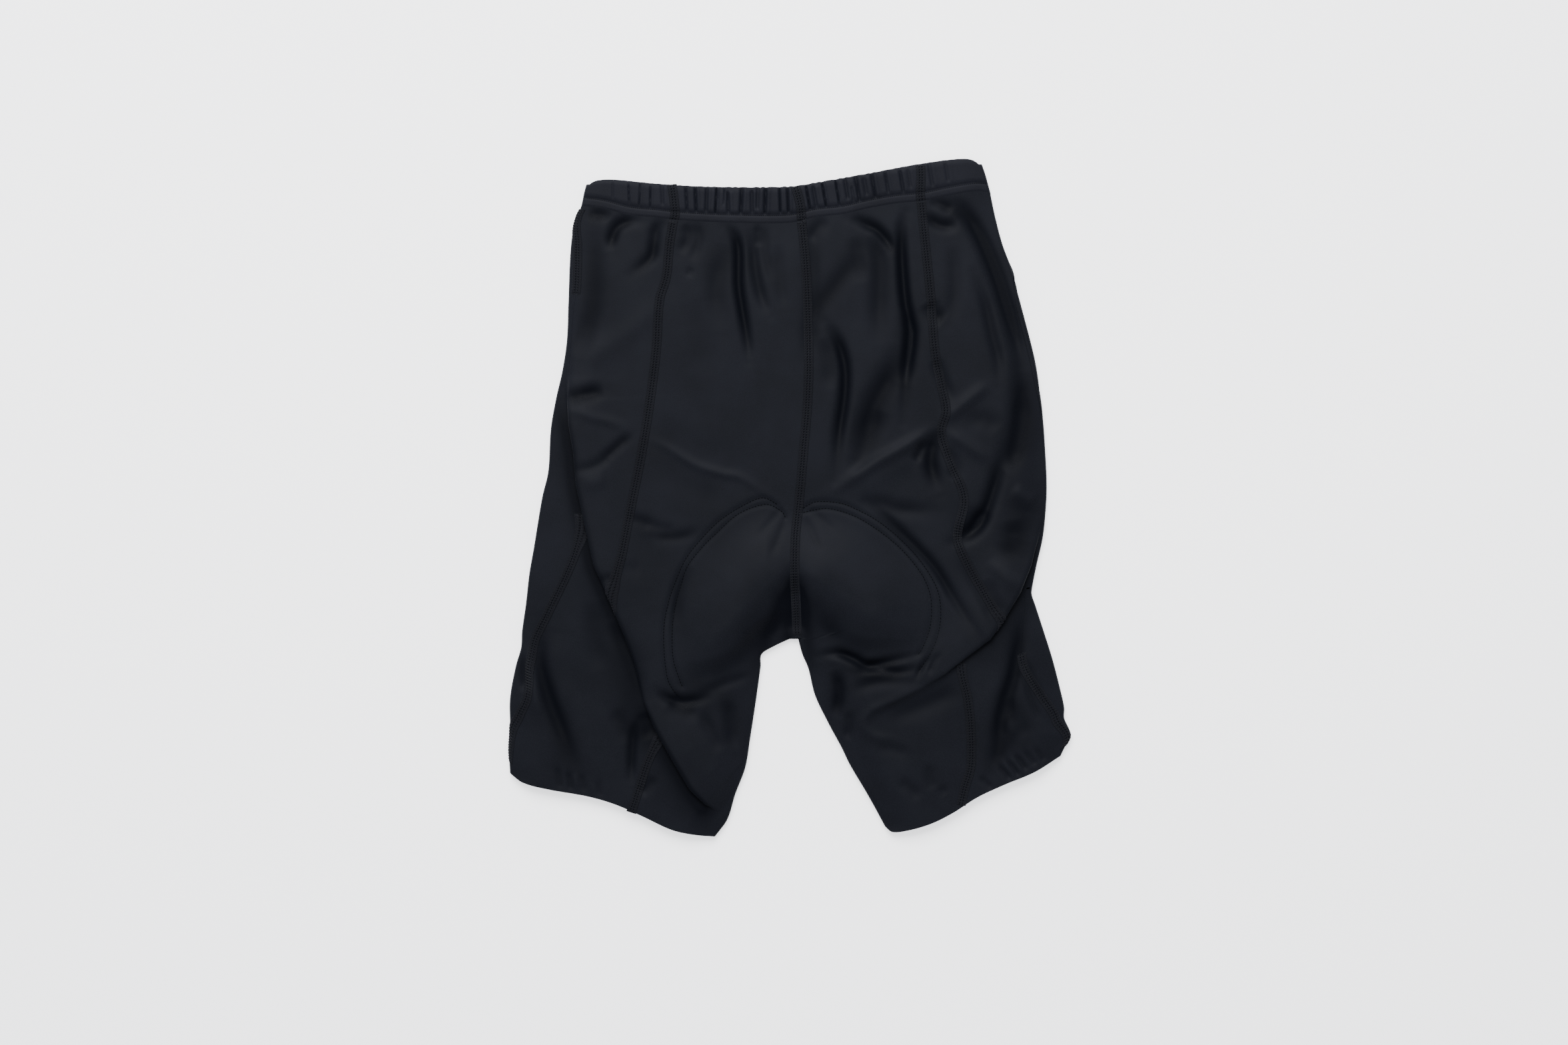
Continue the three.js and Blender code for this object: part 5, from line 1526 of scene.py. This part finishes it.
@dataclass
class Flatlock:
    """Flat seams: a raised band with four rows of thread and the lattice between them."""

    offsets: np.ndarray = field(default_factory=lambda: np.array(
        [-3.8, -3.4, -3.0, -2.25, -1.5, -1.0, -0.5, 0.5, 1.0, 1.5, 2.25, 3.0, 3.4, 3.8]))
    rises: np.ndarray = field(default_factory=lambda: np.array(
        [0.0, 0.8, 0.95, 0.85, 1.0, 0.15, 0.75, 0.75, 0.15, 1.0, 0.85, 0.95, 0.8, 0.0]))
    # Columns of needle holes, darkened with painted shade
    painted_shade_hole_columns: tuple[int, ...] = (5, 8)
    rows: tuple[int, ...] = (2, 4, 9, 11)
    middle: int = 6
    row_radius: float = 0.27
    row_lift: float = 0.06
    row_share: float = 0.84
    lattice: Points = ((2, 4, 0.17), (9, 11, 0.17), (4, 6, 0.34), (7, 9, 0.34), (6, 7, 0.24))
    lattice_lift: float = 0.04
    base_wall: float = 0.3
    sinks: dict[str, tuple[float, float]] = field(default_factory=lambda: {
        "centre": (0, 0.9), "left": (0, 1), "left_low": (1, 0), "right": (0, 1), "right_low": (1, 0),
        "front_left": (0, 1), "front_left_low": (1, 0), "front_right": (0, 1), "front_right_low": (1.2, 0),
    })
    sink_reach: int = 5
    lowest: float = 0.1
    lowest_thread: float = 0.7
    made: list[bpy.types.Object] = field(default_factory=list)

    @staticmethod
    def along(curve: Follow, start: float, end: float) -> np.ndarray:
        """Places along a curve from one y to another."""
        y = np.linspace(start, end, max(int(abs(end - start) / 1.5), 4))
        return np.stack([curve(y), y], axis=1)

    def paths(self) -> dict[str, np.ndarray]:
        """Seams on the upper face.

        Returns:
            The seams where they show, as places in the plan.
        """
        along = self.along
        centre_top = Follow(((233.5, 4.3), (228, 6), (220, 8), (211, 9), (205, 9.3), (178, 12)))
        left_top = Follow(((234.5, -88), (225, -86.5), (212, -85.5), (207.8, -86.5), (190, -89.5)))
        right_top = Follow(((249, 98), (240, 98.4), (228, 98), (221.4, 98.5), (190, 101.5)))
        return {
            "centre_band": along(centre_top, 232.6, 205), "centre": along(FORM.centre, 204.5, -105.6),
            "left_band": along(left_top, 234.2, 208), "left": along(LEFT.back_seam, 207.5, -87),
            "left_low": along(LEFT.back_seam, -174, -235.2), "right_band": along(right_top, 248.6, 221.5),
            "right": along(RIGHT.back_seam, 221, -101), "right_low": along(RIGHT.back_seam, -122, -229.5),
        }

    def edge_runs(self) -> dict[str, tuple[Half, float, float]]:
        """Seams that turn over the outer edge.

        Returns:
            Seams that turn over the outer edge, each with its half and its range of y.
        """
        return {
            "front_left": (LEFT, 216, 150), "front_left_low": (LEFT, -3, -198),
            "front_right": (RIGHT, 226, 60), "front_right_low": (RIGHT, -106, -186),
        }

    def build(self, base: bpy.types.Material, thread: bpy.types.Material) -> None:
        """Builds every seam.

        Args:
            base: the band under the threads.
            thread: the threads.
        """
        for name, path in self.paths().items():
            spine = resample(path, FLATLOCK_PITCH / 2)
            ahead = np.gradient(spine, axis=0)
            across = np.stack([ahead[:, 1], -ahead[:, 0]], axis=1)
            across /= np.linalg.norm(across, axis=1, keepdims=True)
            place = spine[:, None, :] + across[:, None, :] * self.offsets[None, :, None]
            self.seam(name, upper_face(place[..., 0], place[..., 1]), base, thread)
        for name, (half, start, end) in self.edge_runs().items():
            v = np.linspace(0, 1, 4000)
            y = half.level(half.outer_levels, v)
            v = v[(y <= start) & (y >= end)]
            middle = half.front_seam(half.level(half.outer_levels, v)) - TURN_RADIUS + TURN_ARC / 2
            spine = FORM.ring(half, v, middle[:, None])[:, 0]
            gaps = np.concatenate([[0], np.cumsum(np.linalg.norm(np.diff(spine, axis=0), axis=1))])
            v = np.interp(np.arange(0, gaps[-1], FLATLOCK_PITCH / 2), gaps, v)
            middle = half.front_seam(half.level(half.outer_levels, v)) - TURN_RADIUS + TURN_ARC / 2
            self.seam(name, FORM.ring(half, v, middle[:, None] + self.offsets[None, :]), base, thread)

    def seam(self, name: str, cloth: np.ndarray, base: bpy.types.Material,
             thread: bpy.types.Material) -> None:
        """Builds one seam: its band, then its threads.

        Args:
            name: the seam's.
            cloth: rows of points across it on the cloth.
            base, thread: its finishes.
        """
        along_step = np.gradient(cloth, axis=0)
        cross_step = np.gradient(cloth, axis=1)
        turned = np.cross(cross_step, along_step)
        up = turned / np.maximum(np.linalg.norm(turned, axis=2, keepdims=True), 1e-9)
        up *= np.sign(up[:, self.middle, 2].mean())
        points = cloth + up * (FLATLOCK_RISE * self.rises[None, :, None] + 0.02)
        points[:, [0, -1]] -= up[:, [0, -1]] * 0.5
        start, end = self.sinks.get(name, (0, 0))
        place = np.arange(len(points))
        points[..., 2] -= (start * (1 - smooth(place / self.sink_reach)))[:, None]
        points[..., 2] -= (end * (1 - smooth(place[::-1] / self.sink_reach)))[:, None]
        points[..., 2] = np.maximum(points[..., 2], self.lowest)
        flip = float(turned[:, self.middle, 2].mean()) >= 0
        band = make_mesh(f"flatlock_{name}", points, grid_faces(*points.shape[:2], flip))
        # Painted shade in the needle-hole columns of the band
        values = np.zeros(points.shape[:2])
        values[:, list(self.painted_shade_hole_columns)] = 1
        write_painted_shade(band, values)
        thicken(band, self.base_wall)
        shade(band)
        self.made.append(settle(band, base, "cloth"))
        stitcher = Stitcher()
        for i in range(0, len(points) - 2, 2):
            for row in self.rows:
                if points[i, row, 2] < self.lowest_thread:
                    continue
                start = points[i, row] + up[i, row] * self.row_lift
                end = mix(points[i, row], points[i + 2, row], self.row_share) + up[i, row] * self.row_lift
                stitcher.add(start, end, up[i, row], self.row_radius)
            for near, far, radius in self.lattice:
                if points[i, near, 2] < self.lowest_thread:
                    continue
                start = points[i, near] + up[i, near] * self.lattice_lift
                end = points[i + 1, far] + up[i + 1, far] * self.lattice_lift
                stitcher.add(start, end, up[i, near], radius)
        self.made.append(stitcher.piece(f"flatlock_{name}_thread", thread, "cloth"))


@dataclass
class StitchRows:
    """Single rows of stitches: waistband and seat pad."""

    lift: float = 0.08
    gap_share: float = 0.14
    radius: float = 0.36
    band_radius: float = 0.26
    made: list[bpy.types.Object] = field(default_factory=list)

    def paths(self) -> dict[str, np.ndarray]:
        """Rows in the plan.

        Returns:
            Each row as places in the plan.
        """
        x = np.linspace(-152, 147.5, 240)
        rows = {
            "band_upper": np.stack([x, FORM.band_edge(x) + BAND_FLAT], axis=1),
            "band_lower": np.stack([x, FORM.band_edge(x) + 0.4], axis=1),
        }
        places = [f"{side}_{row}" for side in ("left", "right") for row in ("outer", "inner")]
        for place, path in zip(places, PAD_STITCHES):
            rows[f"pad_{place}"] = rounded(path, 160)
        return rows

    def build(self, dark: bpy.types.Material, pale: bpy.types.Material) -> None:
        """Builds every row.

        Args:
            dark: thread of the seat pad, dark thread darkened further with painted shade of its needle holes
                and their shadow.
            pale: thread of the waistband.
        """
        for name, path in self.paths().items():
            fine = name.startswith("band")
            spine = resample(path, BAND_STITCH_PITCH if fine else STITCH_PITCH)
            points = upper_face(spine[:, :1], spine[:, 1:])[:, 0]
            beside = upper_face(spine[:, :1], spine[:, 1:] + 0.6)[:, 0]
            ahead = np.gradient(points, axis=0)
            up = np.cross(ahead, beside - points)
            up *= np.sign(up[:, 2:]) / np.maximum(np.linalg.norm(up, axis=1, keepdims=True), 1e-9)
            stitcher = Stitcher()
            for i in range(len(points) - 1):
                start = mix(points[i], points[i + 1], self.gap_share) + up[i] * self.lift
                end = mix(points[i], points[i + 1], 1 - self.gap_share) + up[i] * self.lift
                stitcher.add(start, end, up[i], self.band_radius if fine else self.radius)
            self.made.append(stitcher.piece(f"stitches_{name}", pale if fine else dark, "cloth"))


@dataclass
class Studio:
    """Floor, lights and camera."""

    view_width: float = 1.1765
    camera_height: float = 1.9
    view_centre: tuple[float, float] = (-0.004, -0.0185)
    floor_size: float = 8
    floor_level: float = -0.0003
    floor_glow: float = 1.2
    window: tuple[float, float, float] = (-0.3, 1.5, 1.75)
    window_size: float = 1.6
    window_power: float = 150
    sky: tuple[float, float, float, float] = (0.95, 0.96, 1.0, 1)
    sky_strength: float = 1.15

    def floor(self) -> None:
        """Makes the pale surface that the garment lies on."""
        make = Maker("pale_surface")
        place = make.node("ShaderNodeTexCoord", output="Object")
        cloud = make.noise(place, 3.0, 3.0, 0.5)
        make.feed("Base Color", make.colours(cloud, (0.83, 0.83, 0.845), (0.86, 0.86, 0.87)))
        make.feed("Roughness", 0.85)
        make.feed("Specular IOR Level", 0.1)
        make.feed("Emission Color", (0.97, 0.98, 1.0, 1.0))
        make.feed("Emission Strength", self.floor_glow)
        bpy.ops.object.select_all(action="DESELECT")
        bpy.ops.mesh.primitive_plane_add(size=self.floor_size, location=(0, 0, 0))
        plane = bpy.context.object
        plane.name = "surface"
        plane.data.transform(Matrix.Translation((0, 0, self.floor_level)))
        plane.data.materials.append(make.material)

    def light(self, name: str, place: tuple[float, float, float], size: float, power: float) -> None:
        """Adds a lamp that faces the garment.

        Args:
            name: the lamp's.
            place: where it stands.
            size: its width.
            power: in watts.
        """
        data = bpy.data.lights.new(name, "AREA")
        data.shape = "SQUARE"
        data.size = size
        data.energy = power
        lamp = bpy.data.objects.new(name, data)
        bpy.context.scene.collection.objects.link(lamp)
        lamp.location = place
        aim = Vector((0, 0, 0)) - lamp.location
        lamp.rotation_euler = aim.to_track_quat("-Z", "Y").to_euler()

    def build(self) -> None:
        """Makes the floor, the lights, the surroundings and the camera."""
        self.floor()
        self.light("window", self.window, self.window_size, self.window_power)
        world = bpy.data.worlds.new("surroundings")
        bpy.context.scene.world = world
        world.use_nodes = True
        background = world.node_tree.nodes["Background"]
        background.inputs["Color"].default_value = self.sky
        background.inputs["Strength"].default_value = self.sky_strength
        data = bpy.data.cameras.new("overhead")
        data.sensor_width = 36
        data.lens = 36 * self.camera_height / self.view_width
        camera = bpy.data.objects.new("overhead", data)
        camera.location = (*self.view_centre, self.camera_height)
        bpy.context.scene.collection.objects.link(camera)
        bpy.context.scene.camera = camera


def report(part: str, pieces: Iterable[bpy.types.Object]) -> None:
    """Logs the pieces of one sub-assembly."""
    for piece in pieces:
        LOG.info("%s: %s, %d faces", part, piece.name, len(piece.data.polygons))


def main() -> None:
    """Builds the pieces in order and reports on them."""
    logging.basicConfig(level=logging.INFO, format="%(message)s")
    Studio().build()
    cloth = CLOTH_FINISH.material()
    thread = THREAD_FINISH.material()
    panels = Panels()
    panels.build(cloth)
    report("panels", panels.made.values())
    band = Waistband()
    band.build(BAND_FINISH.material())
    report("waistband", [band.piece])
    pad = SeatPad()
    pad.build(PAD_FINISH.material())
    report("seat pad", [pad.piece])
    seams = Flatlock()
    seams.build(SEAM_FINISH.material(), thread)
    report("seams", seams.made)
    stitches = StitchRows()
    stitches.build(STITCH_FINISH.material(), BAND_STITCH_FINISH.material())
    report("stitches", stitches.made)


if __name__ == "__main__":
    main()
